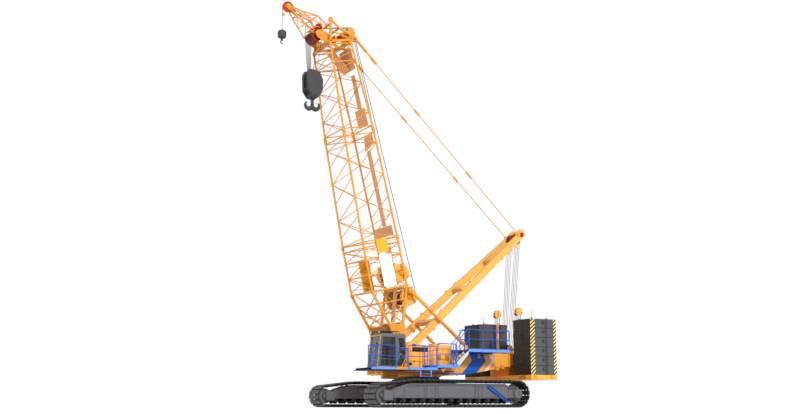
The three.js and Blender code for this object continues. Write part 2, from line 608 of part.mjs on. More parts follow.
function chordPoint(face, side, at) {
  const [depth, width] = boomSection(at);
  return [face * depth, side * width, at];
}

// Four chords between two stations, with end frames and zigzag braces on the sides and the given faces.
function lattice(from, to, bays, faces = [-1, 1]) {
  const parts = [];
  for (const face of [-1, 1]) {
    for (const side of [-1, 1]) {
      const start = chordPoint(face, side, from);
      const end = chordPoint(face, side, to);
      const reach = (CHORD_RADIUS * 0.2) / (to - from);
      const past = start.map((value, axis) => value - (end[axis] - value) * reach);
      const beyond = end.map((value, axis) => value + (value - start[axis]) * reach);
      parts.push(rod(past, beyond, CHORD_RADIUS));
    }
  }
  for (const at of [from + CHORD_RADIUS, to - CHORD_RADIUS]) {
    for (const sign of [-1, 1]) {
      parts.push(brace(chordPoint(-1, sign, at), chordPoint(1, sign, at), BRACE_RADIUS * 1.4));
      if (!faces.includes(sign) && at < from + 2 * CHORD_RADIUS) continue;
      parts.push(brace(chordPoint(sign, -1, at), chordPoint(sign, 1, at), BRACE_RADIUS * 1.4));
    }
  }
  const step = (to - from - 2 * CHORD_RADIUS) / (bays * 2);
  for (let half = 0; half < bays * 2; half += 1) {
    const low = from + CHORD_RADIUS + half * step + BRACE_GAP;
    const high = low + step - 2 * BRACE_GAP;
    const odd = half % 2 ? 1 : -1;
    for (const sign of [-1, 1]) {
      parts.push(brace(chordPoint(odd, sign, low), chordPoint(-odd, sign, high), BRACE_RADIUS));
      if (!faces.includes(sign)) continue;
      const [start, end] = [low + BRACE_OFFSET, high + BRACE_OFFSET];
      parts.push(brace(chordPoint(sign, odd, start), chordPoint(sign, -odd, end), BRACE_RADIUS));
    }
  }
  return join(parts).intersect(solid(block(-2000, 2000, -2000, 2000, from, to)));
}

const footPlate = [1120, 1280];
const footOutline = [[-200, -180], [200, -180], [270, 300], [430, 1900], [1130, 3700], [980, 3800],
  [200, 1950], [-420, 1950], [-980, 3800], [-1130, 3700], [-640, 1880], [-235, 420], [-215, 100]];
const winches = [
  { name: 'upper_hoist_winch', x: -1007, z: 4490 },
  { name: 'lower_hoist_winch', x: -1220, z: 3160 },
];
const winchRadius = 480;
const winchHalf = 850;
place(boom, 'boom_root', boomYellow,
  bothSides(cut(plate(footOutline, ...footPlate), drum(0, 0, running(80), 1000, 1400, PIN_SIDES))),
  lattice(BOOM_KINK - 60, BOOM_ROOT_END - SEAT / 2, 1, [1]),
  block(300, 420, -1130, 1130, 1400, 1850),
  block(-560, -460, -1130, 1130, 1450, 1850),
  winches.map(({ x, z }) => [
    rod([Math.max(x, -1000) + 60, -1200, z - 560], [Math.max(x, -1000) + 60, 1200, z - 560], 60, 6),
    rod([Math.max(x, -1000) + 20, -1200, z + 540], [Math.max(x, -1000) + 20, 1200, z + 540], 60, 6),
    bothSides(plate([[x - 150, z - 150], [x + 150, z - 600], [x + 330, z - 600], [x + 330, z + 600],
      [x - 50, z + 600], [x - 150, z + 150]], winchHalf + 40 + CLEAR, winchHalf + 110 + CLEAR)),
  ]),
  bothSides(drum(BACKSTOP_EYE.x, BACKSTOP_EYE.z, 110, footPlate[1] - 10,
    BACKSTOP_Y - BACKSTOP_TUBE_RADIUS - CLEAR)));
for (const { name, x, z } of winches) {
  place(boom, name, mastYellow,
    drum(x, z, winchRadius * 0.8, -winchHalf + 20, winchHalf - 20, 20),
    bothSides(drum(x, z, winchRadius, winchHalf - 60, winchHalf, 20)),
    drum(x, z, 90, -(winchHalf + 40 + CLEAR - SEAT), winchHalf + 40 + CLEAR - SEAT, 12));
}
place(boom, 'boom_insert', boomYellow, lattice(BOOM_ROOT_END + SEAT / 2, BOOM_INSERT_END - SEAT / 2, 3));
place(boom, 'boom_top', boomYellow, lattice(BOOM_INSERT_END + SEAT / 2, BOOM_TOP_END - SEAT / 2, 3));
const headSheave = { x: 975, z: BOOM_TOP_END + 650 };
const tipSheave = { x: 2180, z: BOOM_TOP_END + 2370 };
const headOutline = [[-700, SEAT / 2], [700, SEAT / 2], [1250, 450], [1300, 750], [1000, 950], [460, 1420],
  [120, 1420], [-250, 800], [-1150, 700], [-1150, 300]].map(([x, rise]) => [x, BOOM_TOP_END + rise]);
const headPlate = [620, 700];
const jibFoot = BOOM_TOP_END + 1200;
place(boom, 'boom_head', boomYellow,
  bothSides(cut(plate(headOutline, ...headPlate), drum(headSheave.x, headSheave.z, 70 + SEAT, 600, 720))),
  block(-900, 700, -1080, 1080, BOOM_TOP_END + SEAT / 2, BOOM_TOP_END + 200));
place(boom, 'head_sheaves', sheaveRed,
  drum(headSheave.x, headSheave.z, HEAD_SHEAVE_RADIUS, -480, 480, 24),
  drum(headSheave.x, headSheave.z, 70, -700, 700, 16));
place(boom, 'tip_jib', boomYellow,
  bothSides(bar([900, 420, jibFoot + 20], [tipSheave.x, 130, tipSheave.z], 40, 90)),
  bothSides(bar([300, 560, jibFoot + 100], [900, 420, jibFoot + 20], 40, 90)),
  bothSides(bar([1350, 560, jibFoot - 500], [tipSheave.x - 60, 130, tipSheave.z - 60], 40, 90)),
  bothSides(block(250, 380, 560, headPlate[0] - SEAT, jibFoot, jibFoot + 160)),
  block(880, 960, -440, 440, jibFoot - 20, jibFoot + 60),
  block(1680, 1760, -230, 230, tipSheave.z - 480, tipSheave.z - 400),
  bothSides(drum(tipSheave.x, tipSheave.z, 80, 105 + SEAT, 150)));
place(boom, 'tip_sheave', sheaveRed,
  drum(tipSheave.x, tipSheave.z, TIP_SHEAVE_RADIUS, -90, 90, 24),
  drum(tipSheave.x, tipSheave.z, 60, -105, 105));

// Hooks hang plumb from their sheaves whatever the boom's angle.
function plumbGroup({ x, z }) {
  const hanging = new THREE.Group();
  hanging.position.set(x, 0, z);
  hanging.rotation.y = -radians(BOOM_TILT);
  boom.add(hanging);
  return hanging;
}

const mainHanging = plumbGroup(headSheave);
place(mainHanging, 'main_falls', ropeGrey,
  block(HEAD_SHEAVE_RADIUS + SEAT, HEAD_SHEAVE_RADIUS + 26, -300, 300, -MAIN_FALL_LENGTH, 20));
const blockTop = -MAIN_FALL_LENGTH - SEAT;
const blockX = 40;
place(mainHanging, 'main_hook_block', hookGrey,
  slab([[blockX - 420, -330], [blockX + 420, -330], [blockX + 420, 330], [blockX - 420, 330]],
    blockTop - 1150, blockTop));
place(mainHanging, 'main_hook', hookGrey,
  post(blockX, 0, 90, blockTop - 1500, blockTop - 1150 - SEAT),
  plate([[blockX - 90, blockTop - 1450], [blockX - 330, blockTop - 1350], [blockX - 380, blockTop - 1600],
    [blockX - 150, blockTop - 1800], [blockX + 150, blockTop - 1800], [blockX + 380, blockTop - 1600],
    [blockX + 330, blockTop - 1350], [blockX + 90, blockTop - 1450]], -70, 70));

const auxHanging = plumbGroup(tipSheave);
place(auxHanging, 'aux_falls', ropeGrey,
  block(TIP_SHEAVE_RADIUS + SEAT, TIP_SHEAVE_RADIUS + 22, -11, 11, -AUX_FALL_LENGTH, 20));
place(auxHanging, 'aux_hook_block', hookGrey,
  post(TIP_SHEAVE_RADIUS + 11, 0, 230, -AUX_FALL_LENGTH - 480, -AUX_FALL_LENGTH - SEAT, 16),
  post(TIP_SHEAVE_RADIUS + 11, 0, 50, -AUX_FALL_LENGTH - 620, -AUX_FALL_LENGTH - 470),
  drum(TIP_SHEAVE_RADIUS + 11, -AUX_FALL_LENGTH - 700, 110, -35, 35));

// ---------------------------------------------------------------------------------------------
// Mast, pendants and backstops
// ---------------------------------------------------------------------------------------------

const mast = new THREE.Group();
mast.position.set(MAST_FOOT_X, 0, MAST_FOOT_Z);
mast.rotation.y = -radians(MAST_TILT);
upperworks.add(mast);

const straightFoot = 420;
const legInner = MAST_FOOT_Y - MAST_LEG_WIDTH / 2;
const legFoot = [0, MAST_FOOT_Y, straightFoot - 60];
const legHead = [0, MAST_HEAD_Y, MAST_LENGTH];
const legShape = join(
  cut(join(block(-MAST_LEG_DEPTH / 2, MAST_LEG_DEPTH / 2, legInner, legInner + MAST_LEG_WIDTH, 0, straightFoot),
    drum(0, 0, MAST_LEG_DEPTH / 2, legInner, legInner + MAST_LEG_WIDTH)),
  drum(0, 0, running(70), MAST_FOOT_Y - 200, MAST_FOOT_Y + 200, PIN_SIDES)),
  bar(legFoot, legHead, MAST_LEG_WIDTH, MAST_LEG_DEPTH));
const legRoom = bar(legFoot, legHead, MAST_LEG_WIDTH + 2 * SEAT, MAST_LEG_DEPTH + 2 * SEAT);
const legCentreAt = (at) => THREE.MathUtils.mapLinear(at, legFoot[2], legHead[2], MAST_FOOT_Y, MAST_HEAD_Y);

// What ties the two legs together between two distances from the foot.
function mastTie(thickness, from, to) {
  const half = legCentreAt(to) - MAST_LEG_WIDTH / 4;
  return cut(block(-thickness / 2, thickness / 2, -half, half, from, to), legRoom, mirrored(legRoom));
}

const mastSheave = { x: -60, z: 9850 };
const leg = join(
  cut(legShape, drum(mastSheave.x, mastSheave.z, 60 + SEAT, 0, MAST_FOOT_Y)),
  drum(PENDANT_MAST_EYE.x, PENDANT_MAST_EYE.z, 35, MAST_HEAD_Y + 60, PENDANT_MAST_EYE.y + 45, PIN_SIDES));
place(mast, 'mast_left_leg', mastYellow, leg);
place(mast, 'mast_right_leg', mastYellow, mirrored(leg));
place(mast, 'mast_lower_tie', mastYellow, mastTie(240, 2000, 2250));
place(mast, 'mast_upper_tie', mastYellow, mastTie(240, 5000, 5250));
place(mast, 'mast_head', mastYellow, mastTie(280, 7600, 9300));
place(mast, 'mast_sheaves', sheaveRed,
  drum(mastSheave.x, mastSheave.z, 300, -270, 270, 24),
  drum(mastSheave.x, mastSheave.z, 60, -MAST_HEAD_Y, MAST_HEAD_Y));

// A point given in a tilted group's side view, in the crane's own frame.
function inCrane(group, { x, y = 0, z }) {
  group.updateMatrix();
  return new THREE.Vector3(x, y, z).applyMatrix4(group.matrix);
}

const mastEye = inCrane(mast, PENDANT_MAST_EYE);
const boomEye = inCrane(boom, PENDANT_BOOM_EYE);
const pendantShape = join(
  cut(drum(mastEye.x, mastEye.z, 90, mastEye.y - 25, mastEye.y + 35),
    drum(mastEye.x, mastEye.z, running(35), mastEye.y - 40, mastEye.y + 50, PIN_SIDES)),
  rod(new THREE.Vector3().lerpVectors(mastEye, boomEye, 62 / mastEye.distanceTo(boomEye)).toArray(),
    boomEye.toArray(), PENDANT_RADIUS, 6),
  drum(boomEye.x, boomEye.z, 80, boomEye.y - 25, boomEye.y + 25, 12));
place(upperworks, 'left_pendant', ropeGrey, pendantShape);
place(upperworks, 'right_pendant', ropeGrey, mirrored(pendantShape));

const foot = new THREE.Vector3(BACKSTOP_FOOT.x, BACKSTOP_Y, BACKSTOP_FOOT.z);
const backstopEye = inCrane(boom, { ...BACKSTOP_EYE, y: BACKSTOP_Y });
const backstopLength = foot.distanceTo(backstopEye);
const alongBackstop = (distance) => foot.clone().lerp(backstopEye, distance / backstopLength).toArray();
const boreEnd = 3750;
const rodShape = join(
  cut(drum(foot.x, foot.z, 100, BACKSTOP_Y - BACKSTOP_ROD_RADIUS, BACKSTOP_Y + BACKSTOP_ROD_RADIUS),
    drum(foot.x, foot.z, running(45), BACKSTOP_Y - bracketGap, BACKSTOP_Y + bracketGap, PIN_SIDES)),
  rod(alongBackstop(85), alongBackstop(3300), BACKSTOP_ROD_RADIUS, 12));
const tubeShape = join(
  cut(rod(alongBackstop(600), alongBackstop(backstopLength - 60), BACKSTOP_TUBE_RADIUS, 12),
    rod(alongBackstop(590), alongBackstop(boreEnd), BACKSTOP_ROD_RADIUS + SEAT, 12)),
  drum(backstopEye.x, backstopEye.z, 110, BACKSTOP_Y - 80, BACKSTOP_Y + 80));
for (const [name, turned] of [['left', (shape) => shape], ['right', mirrored]]) {
  place(upperworks, `${name}_backstop_rod`, ropeGrey, turned(rodShape));
  place(upperworks, `${name}_backstop_tube`, boomYellow, turned(tubeShape));
}

// The centre of the base of the whole crane's box becomes the origin.
const bounds = new THREE.Box3().setFromObject(crane);
crane.position.set(-(bounds.min.x + bounds.max.x) / 2, -(bounds.min.y + bounds.max.y) / 2, -bounds.min.z);

export default crane;
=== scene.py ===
"""A lattice-boom crawler crane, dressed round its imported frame.

Everything is in metres, +X forward, +Y left, +Z up. Places are given from the slewing axis on the
ground by `at`, along the boom or the mast by `Tilted.at`, or read from the frame's own boxes.
"""

from __future__ import annotations

import itertools
import json
import logging
import math
from dataclasses import dataclass, field
from enum import Enum
from typing import Callable, Iterable, Sequence, Union

import bmesh
import bpy
from mathutils import Matrix, Vector

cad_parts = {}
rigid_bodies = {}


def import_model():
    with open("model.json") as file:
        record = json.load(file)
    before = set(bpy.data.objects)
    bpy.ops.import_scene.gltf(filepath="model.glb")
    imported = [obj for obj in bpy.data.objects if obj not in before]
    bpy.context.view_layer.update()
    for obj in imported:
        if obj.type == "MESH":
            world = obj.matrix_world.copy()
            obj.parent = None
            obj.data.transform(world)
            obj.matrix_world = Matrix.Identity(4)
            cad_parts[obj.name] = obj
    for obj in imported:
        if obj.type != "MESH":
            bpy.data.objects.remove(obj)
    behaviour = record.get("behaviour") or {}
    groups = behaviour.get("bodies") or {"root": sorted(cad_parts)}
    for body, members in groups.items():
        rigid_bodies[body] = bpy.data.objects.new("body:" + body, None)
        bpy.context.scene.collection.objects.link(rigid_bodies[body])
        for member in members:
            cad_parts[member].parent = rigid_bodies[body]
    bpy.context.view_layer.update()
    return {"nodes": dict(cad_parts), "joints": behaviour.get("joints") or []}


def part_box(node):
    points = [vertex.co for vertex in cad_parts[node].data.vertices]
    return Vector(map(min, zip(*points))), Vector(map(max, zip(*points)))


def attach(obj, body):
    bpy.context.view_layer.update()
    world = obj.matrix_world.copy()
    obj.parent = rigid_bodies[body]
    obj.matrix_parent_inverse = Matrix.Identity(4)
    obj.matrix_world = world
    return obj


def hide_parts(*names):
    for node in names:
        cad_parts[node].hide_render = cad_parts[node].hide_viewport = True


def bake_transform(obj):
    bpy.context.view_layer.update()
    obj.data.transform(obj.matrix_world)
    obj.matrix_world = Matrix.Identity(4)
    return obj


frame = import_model()

log = logging.getLogger("crane")
Pair = tuple[float, float]
Triple = tuple[float, float, float]
Place = Callable[[float, float, float], Vector]
Object = bpy.types.Object
JOINTS = {row["name"]: row for row in frame["joints"]}


def joint(name: str) -> Vector:
    """The point that a joint turns about."""
    return Vector(JOINTS[name]["pos_m"])


SLEW_X = joint("slew").x
UP = Vector((0, 0, 1))
LEFT = Vector((0, 1, 0))


def at(x: float, y: float, z: float) -> Vector:
    """A point given from the slewing axis on the ground."""
    return Vector((SLEW_X + x, y, z))


def mix(a: float, b: float, share: float) -> float:
    """The value a share of the way from a to b."""
    return a + (b - a) * share


def steps(first: float, last: float, count: int) -> list[float]:
    """Evenly spaced values, both ends included."""
    return [mix(first, last, index / (count - 1)) for index in range(count)]


@dataclass(frozen=True)
class Tilted:
    """A frame that leans in the side view, such as the boom's or the mast's."""

    foot: Vector
    lean: float  # degrees forward of the vertical

    def at(self, front: float, y: float, along: float) -> Vector:
        """A point given across the leaning part, across the crane and along the part.

        Args:
            front: How far in front of its middle.
            y: How far across the crane, left being positive.
            along: How far up it from its foot.

        Returns:
            The point, in the shared frame.
        """
        turn = math.radians(self.lean)
        out = Vector((math.cos(turn), 0, -math.sin(turn))) * front
        up = Vector((math.sin(turn), 0, math.cos(turn))) * along
        return self.foot + out + up + Vector((0, y, 0))

    def ends(self, front: float, half: float, along: float) -> tuple[Vector, Vector]:
        """The two ends of something that lies square across the crane."""
        return self.at(front, -half, along), self.at(front, half, along)

    def way(self, front: float, along: float) -> Vector:
        """A step across the leaning part and along it."""
        return self.at(front, 0, along) - self.at(0, 0, 0)


BOOM = Tilted(joint("boom_luff"), 12.65)
HEAD_AXLE: Pair = (0.975, 17.85)  # in front of the boom's middle, and up the boom
TIP_AXLE: Pair = (2.18, 19.57)
MAST = Tilted(joint("mast_luff"), -49.3)


# --------------------------------------------------------------------------------------------
# Modelling
# --------------------------------------------------------------------------------------------


def pick(*objects: Object) -> None:
    """Selects these objects and no others, the last of them active."""
    if bpy.context.object and bpy.context.object.mode != "OBJECT":
        bpy.ops.object.mode_set(mode="OBJECT")
    bpy.ops.object.select_all(action="DESELECT")
    for one in objects:
        one.select_set(True)
    bpy.context.view_layer.objects.active = objects[-1]


def basis(along: Vector, side: Vector = LEFT) -> Matrix:
    """A turn that takes Z to `along` and Y as near as it can to `side`.

    Args:
        along: Where Z goes.
        side: Where Y goes, as near as it can.

    Returns:
        The turn, as a matrix of three rows.
    """
    z = along.normalized()
    y = side - z * side.dot(z)
    y = y.normalized() if y.length > 1e-4 else z.orthogonal().normalized()
    x = y.cross(z)
    return Matrix((x, y, z)).transposed()


def settle(piece: Object, body: str, finish: "Finish",
           stands_for: Sequence[str] = ()) -> Object:
    """Dresses a modelled piece and hangs it on its body.

    Args:
        piece: The object, at the origin.
        body: The CAD body that it moves with, or empty for a rope that hangs on no body.
        finish: What it is painted with or made of.
        stands_for: The CAD nodes that it takes the place of.

    Returns:
        The same object.
    """
    piece.data.materials.clear()
    piece.data.materials.append(finish.material())
    if body:
        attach(piece, body)
    if stands_for:
        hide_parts(*stands_for)
    log.info("%s: %d faces on %s", piece.name, len(piece.data.polygons), body or "two bodies")
    return piece


class Form:
    """A piece under construction: a mesh that is modelled in edit mode from primitives."""

    def __init__(self, name: str) -> None:
        """Starts an empty mesh in edit mode.

        Args:
            name: The piece's name.
        """
        self.object = bpy.data.objects.new(name, bpy.data.meshes.new(name))
        bpy.context.scene.collection.objects.link(self.object)
        pick(self.object)
        bpy.ops.object.mode_set(mode="EDIT")

    def box(self, low: Sequence[float], high: Sequence[float], bevel: float = 0.0,
            segments: int = 1) -> "Form":
        """Adds a box between two corners with bevelled edges.

        Args:
            low: One corner.
            high: The corner across from it.
            bevel: The bevel's width.
            segments: How many faces make the bevel.

        Returns:
            The form itself, for the next step.
        """
        low, high = Vector(low), Vector(high)
        size = [abs(value) for value in high - low]
        bpy.ops.mesh.select_all(action="DESELECT")
        bpy.ops.mesh.primitive_cube_add(size=1, location=(low + high) / 2, scale=size)
        return self.soften(min(bevel, min(size) * 0.45), segments)

    def beam(self, start: Vector, end: Vector, width: float, depth: float,
             bevel: float = 0.0, side: Vector = LEFT) -> "Form":
        """Adds a bar between two points, `width` along `side` and `depth` across it.

        Args:
            start: Where it starts.
            end: Where it ends.
            width: Its size along `side`.
            depth: Its size across `side`.
            bevel: The bevel's width.
            side: The way that its width runs.

        Returns:
            The form itself, for the next step.
        """
        turn = basis(end - start, side).to_euler()
        bpy.ops.mesh.select_all(action="DESELECT")
        bpy.ops.mesh.primitive_cube_add(size=1, location=(start + end) / 2, rotation=turn,
                                        scale=(depth, width, (end - start).length))
        return self.soften(bevel)

    def soften(self, bevel: float, segments: int = 1) -> "Form":
        """Bevels the edges of what is selected.

        Args:
            bevel: The bevel's width.
            segments: How many faces make the bevel.

        Returns:
            The form itself, for the next step.
        """
        if bevel > 0:
            bpy.ops.mesh.bevel(offset=bevel, segments=segments, affect="EDGES")
        return self

    def disc(self, centre: Vector, along: Vector, radius: float, sides: int) -> "Form":
        """Adds a flat disc and leaves it selected.

        Args:
            centre: The disc's middle.
            along: The way it faces.
            radius: Its radius.
            sides: How many sides it has.

        Returns:
            The form itself, for the next step.
        """
        bpy.ops.mesh.select_all(action="DESELECT")
        bpy.ops.mesh.primitive_circle_add(vertices=sides, radius=radius, fill_type="NGON",
                                          location=centre, rotation=basis(along).to_euler())
        return self

    def push(self, by: Vector) -> "Form":
        """Extrudes the selected faces."""
        bpy.ops.mesh.extrude_region_move(TRANSFORM_OT_translate={"value": by})
        return self

    def swell(self, about: Vector, factor: float) -> "Form":
        """Scales what is selected about a point."""
        bpy.ops.transform.resize(value=(factor,) * 3, center_override=about)
        return self

    def tube(self, start: Vector, end: Vector, radius: float, sides: int = 8,
             tip: float = 0.0) -> "Form":
        """Adds a round bar between two points, tapered where `tip` gives the far radius."""
        self.disc(start, end - start, radius, sides).push(end - start)
        return self.swell(end, tip / radius) if tip else self

    def axle(self, centre: Vector, half: float, radius: float, sides: int) -> "Form":
        """Adds a round bar that lies across the crane, `half` to each side of its middle."""
        return self.tube(centre - LEFT * half, centre + LEFT * half, radius, sides)

    def turned(self, centre: Vector, along: Vector, profile: Sequence[Pair],
               sides: int = 24) -> "Form":
        """Adds a turned shape.

        Args:
            centre: Where the profile's offsets are measured from.
            along: The direction of the axis.
            profile: (offset, radius) of each ring in turn.
            sides: How many sides the rings have.

        Returns:
            The form itself, for the next step.
        """
        axis = along.normalized()
        offset, radius = profile[0]
        self.disc(centre + axis * offset, axis, radius, sides)
        for next_offset, next_radius in profile[1:]:
            self.push(axis * (next_offset - offset))
            self.swell(centre + axis * next_offset, next_radius / radius)
            offset, radius = next_offset, next_radius
        return self

    def plate(self, outline: Sequence[Pair], low: float, high: float, place: Place = at,
              bevel: float = 0.0) -> "Form":
        """Adds a side-view outline made into a plate.

        Args:
            outline: The corners, (forward, up) or (front, along) in the frame of `place`.
            low: Where the plate starts across the crane.
            high: Where it ends.
            place: Turns (forward, across, up) into a point.
            bevel: The width of its bevelled edges.

        Returns:
            The form itself, for the next step.
        """
        corners = [place(a, low, b) for a, b in outline]
        return self.sheet(corners, place(outline[0][0], high, outline[0][1]) - corners[0], bevel)

    def sheet(self, corners: Sequence[Vector], by: Vector, bevel: float = 0.0) -> "Form":
        """Adds a flat face with these corners, given a thickness.

        Args:
            corners: The corners in order.
            by: The thickness, as a way and a length.
            bevel: The bevel's width.

        Returns:
            The form itself, for the next step.
        """
        self.disc(corners[0], by, 1, len(corners))
        mesh = bmesh.from_edit_mesh(self.object.data)
        mesh.verts.ensure_lookup_table()
        for vertex, corner in zip([v for v in mesh.verts if v.select], corners):
            vertex.co = corner
        bmesh.update_edit_mesh(self.object.data)
        self.push(by)
        if bevel:
            bpy.ops.mesh.select_linked()
            self.soften(bevel)
        return self

    def twist(self, about: Vector, axis: Vector, angle: float) -> "Form":
        """Turns what is selected about an axis through a point, right-handed, in radians.

        Args:
            about: A point on the axis.
            axis: The axis's direction.
            angle: How far to turn, right-handed, in radians.

        Returns:
            The form itself, for the next step.
        """
        for letter, turn in zip("XYZ", Matrix.Rotation(angle, 3, axis).to_euler()):
            if abs(turn) > 1e-5:
                bpy.ops.transform.rotate(value=-turn, orient_axis=letter, orient_type="GLOBAL",
                                         center_override=about)
        return self

    def route(self, points: Sequence[Vector], radius: Union[float, Sequence[float]],
              sides: int = 8) -> "Form":
        """Adds a round bar that runs through points, turning at each.

        Args:
            points: The points in order.
            radius: The bar's radius, or its radius at each point.
            sides: How many sides the bar has.

        Returns:
            The form itself, for the next step.
        """
        sizes = [radius] * len(points) if isinstance(radius, (int, float)) else radius
        ways = [(b - a).normalized() for a, b in zip(points, points[1:])]
        self.disc(points[0], ways[0], sizes[0], sides)
        for index, point in enumerate(points[1:]):
            self.push(point - points[index])
            if sizes[index + 1] != sizes[index]:
                self.swell(point, sizes[index + 1] / sizes[index])
            if index and (bend := ways[index - 1].cross(ways[index])).length > 1e-4:
                self.twist(point, bend, ways[index - 1].angle(ways[index]) / 2)
            if index + 1 < len(ways):
                bend = ways[index].cross(ways[index + 1])
                if bend.length > 1e-4:
                    self.twist(point, bend, ways[index].angle(ways[index + 1]) / 2)
        return self

    def mirror(self) -> "Form":
        """Adds the mirror image, across the crane's middle, of all that is made so far.

        Returns:
            The form itself.
        """
        bpy.ops.mesh.select_all(action="SELECT")
        bpy.ops.mesh.duplicate()
        bpy.ops.transform.resize(value=(1, -1, 1), center_override=(0, 0, 0))
        return self

    def solid(self, smooth: float = 32.0) -> Object:
        """Closes edit mode with the faces outwards and smooth where they turn gently.

        Args:
            smooth: The angle, in degrees, up to which an edge is shaded smooth.

        Returns:
            The finished object.
        """
        bpy.ops.mesh.select_all(action="SELECT")
        bpy.ops.mesh.normals_make_consistent(inside=False)
        bpy.ops.object.mode_set(mode="OBJECT")
        bpy.ops.object.shade_smooth_by_angle(angle=math.radians(smooth))
        return self.object

    def done(self, body: str, finish: "Finish", stands_for: Sequence[str] = (),
             smooth: float = 32.0) -> Object:
        """Closes the piece, dresses it and hangs it on its body."""
        return settle(self.solid(smooth), body, finish, stands_for)


def eased(points: Sequence[Vector], radius: float, pieces: int = 4) -> list[Vector]:
    """A run of points with its corners rounded off.

    Args:
        points: The corners, with both ends.
        radius: How far from a corner the round begins.
        pieces: How many straight pieces stand for each round.

    Returns:
        The points of the rounded run.
    """
    run = [points[0]]
    for before, corner, after in zip(points, points[1:], points[2:]):
        start = corner + (before - corner).normalized() * radius
        end = corner + (after - corner).normalized() * radius
        for share in steps(0, 1, pieces + 1):
            run.append(start.lerp(corner, share).lerp(corner.lerp(end, share), share))
    return run + [points[-1]]


def copies(name: str, pattern: Object, places: Iterable[Matrix]) -> Object:
    """Copies a modelled pattern to each place, each copy with its own mesh, and joins them.

    Args:
        name: The joined piece's name.
        pattern: What is copied. It is used up.
        places: Where each copy goes.

    Returns:
        The joined piece.
    """
    made = []
    for place in places:
        one = pattern.copy()
        one.data = pattern.data.copy()
        one.data.transform(place)
        if place.determinant() < 0:
            one.data.flip_normals()
        bpy.context.scene.collection.objects.link(one)
        made.append(one)
    bpy.data.objects.remove(pattern)
    pick(*made)
    bpy.ops.object.join()
    joined = bpy.context.object
    joined.name = joined.data.name = name
    return joined


def moved(x: float, y: float, z: float) -> Matrix:
    """A place that is only a step away."""
    return Matrix.Translation((x, y, z))


def eased_copy(node: str, name: str, width: float = 0.012, segments: int = 2) -> Object:
    """A copy of a CAD node with its triangles merged into faces and its edges rounded.

    Args:
        node: The CAD node.
        name: The new piece's name.
        width: The rounding's width.
        segments: How many faces make the rounding.

    Returns:
        The copy, which still has to be dressed.
    """
    source = frame["nodes"][node]
    piece = bpy.data.objects.new(name, source.data.copy())
    bpy.context.scene.collection.objects.link(piece)
    pick(piece)
    if piece.data.has_custom_normals:
        bpy.ops.mesh.customdata_custom_splitnormals_clear()
    bpy.ops.object.mode_set(mode="EDIT")
    bpy.ops.mesh.select_all(action="SELECT")
    bpy.ops.mesh.remove_doubles(threshold=0.0002)
    bpy.ops.mesh.dissolve_limited(angle_limit=math.radians(1))
    bpy.ops.object.mode_set(mode="OBJECT")
    rounding = piece.modifiers.new("rounding", "BEVEL")
    rounding.width = width
    rounding.segments = segments
    rounding.limit_method = "ANGLE"
    rounding.angle_limit = math.radians(35)
    bpy.ops.object.modifier_apply(modifier=rounding.name)
    bpy.ops.object.shade_smooth_by_angle(angle=math.radians(32))
    return piece


def skinned(node: str, name: str, width: float, body: str, finish: "Finish",
            segments: int = 2) -> None:
    """Puts an eased copy of a CAD node in the node's place.

    Args:
        node: The CAD node.
        name: The copy's name.
        width: The width of its eased edges.
        body: The body that it moves with.
        finish: What it is painted with.
        segments: How many faces make an eased edge.
    """
    settle(eased_copy(node, name, width, segments), body, finish, [node])


# --------------------------------------------------------------------------------------------
# Materials
# --------------------------------------------------------------------------------------------

Value = Union[float, "Sock"]
Colour = Triple


# The curve by which a screen shows a colour: straight up to CURVE_FROM, and then a power.
CURVE_FROM = 10
CURVE_SLOPE = 12.92 * 255
CURVE_LIFT = 0.055
CURVE_POWER = 2.4


def shade(red: int, green: int, blue: int) -> Colour:
    """A colour given as it is seen, from 0 to 255, as the shader wants it."""
    return tuple(value / CURVE_SLOPE if value <= CURVE_FROM
                 else ((value / 255 + CURVE_LIFT) / (1 + CURVE_LIFT)) ** CURVE_POWER
                 for value in (red, green, blue))


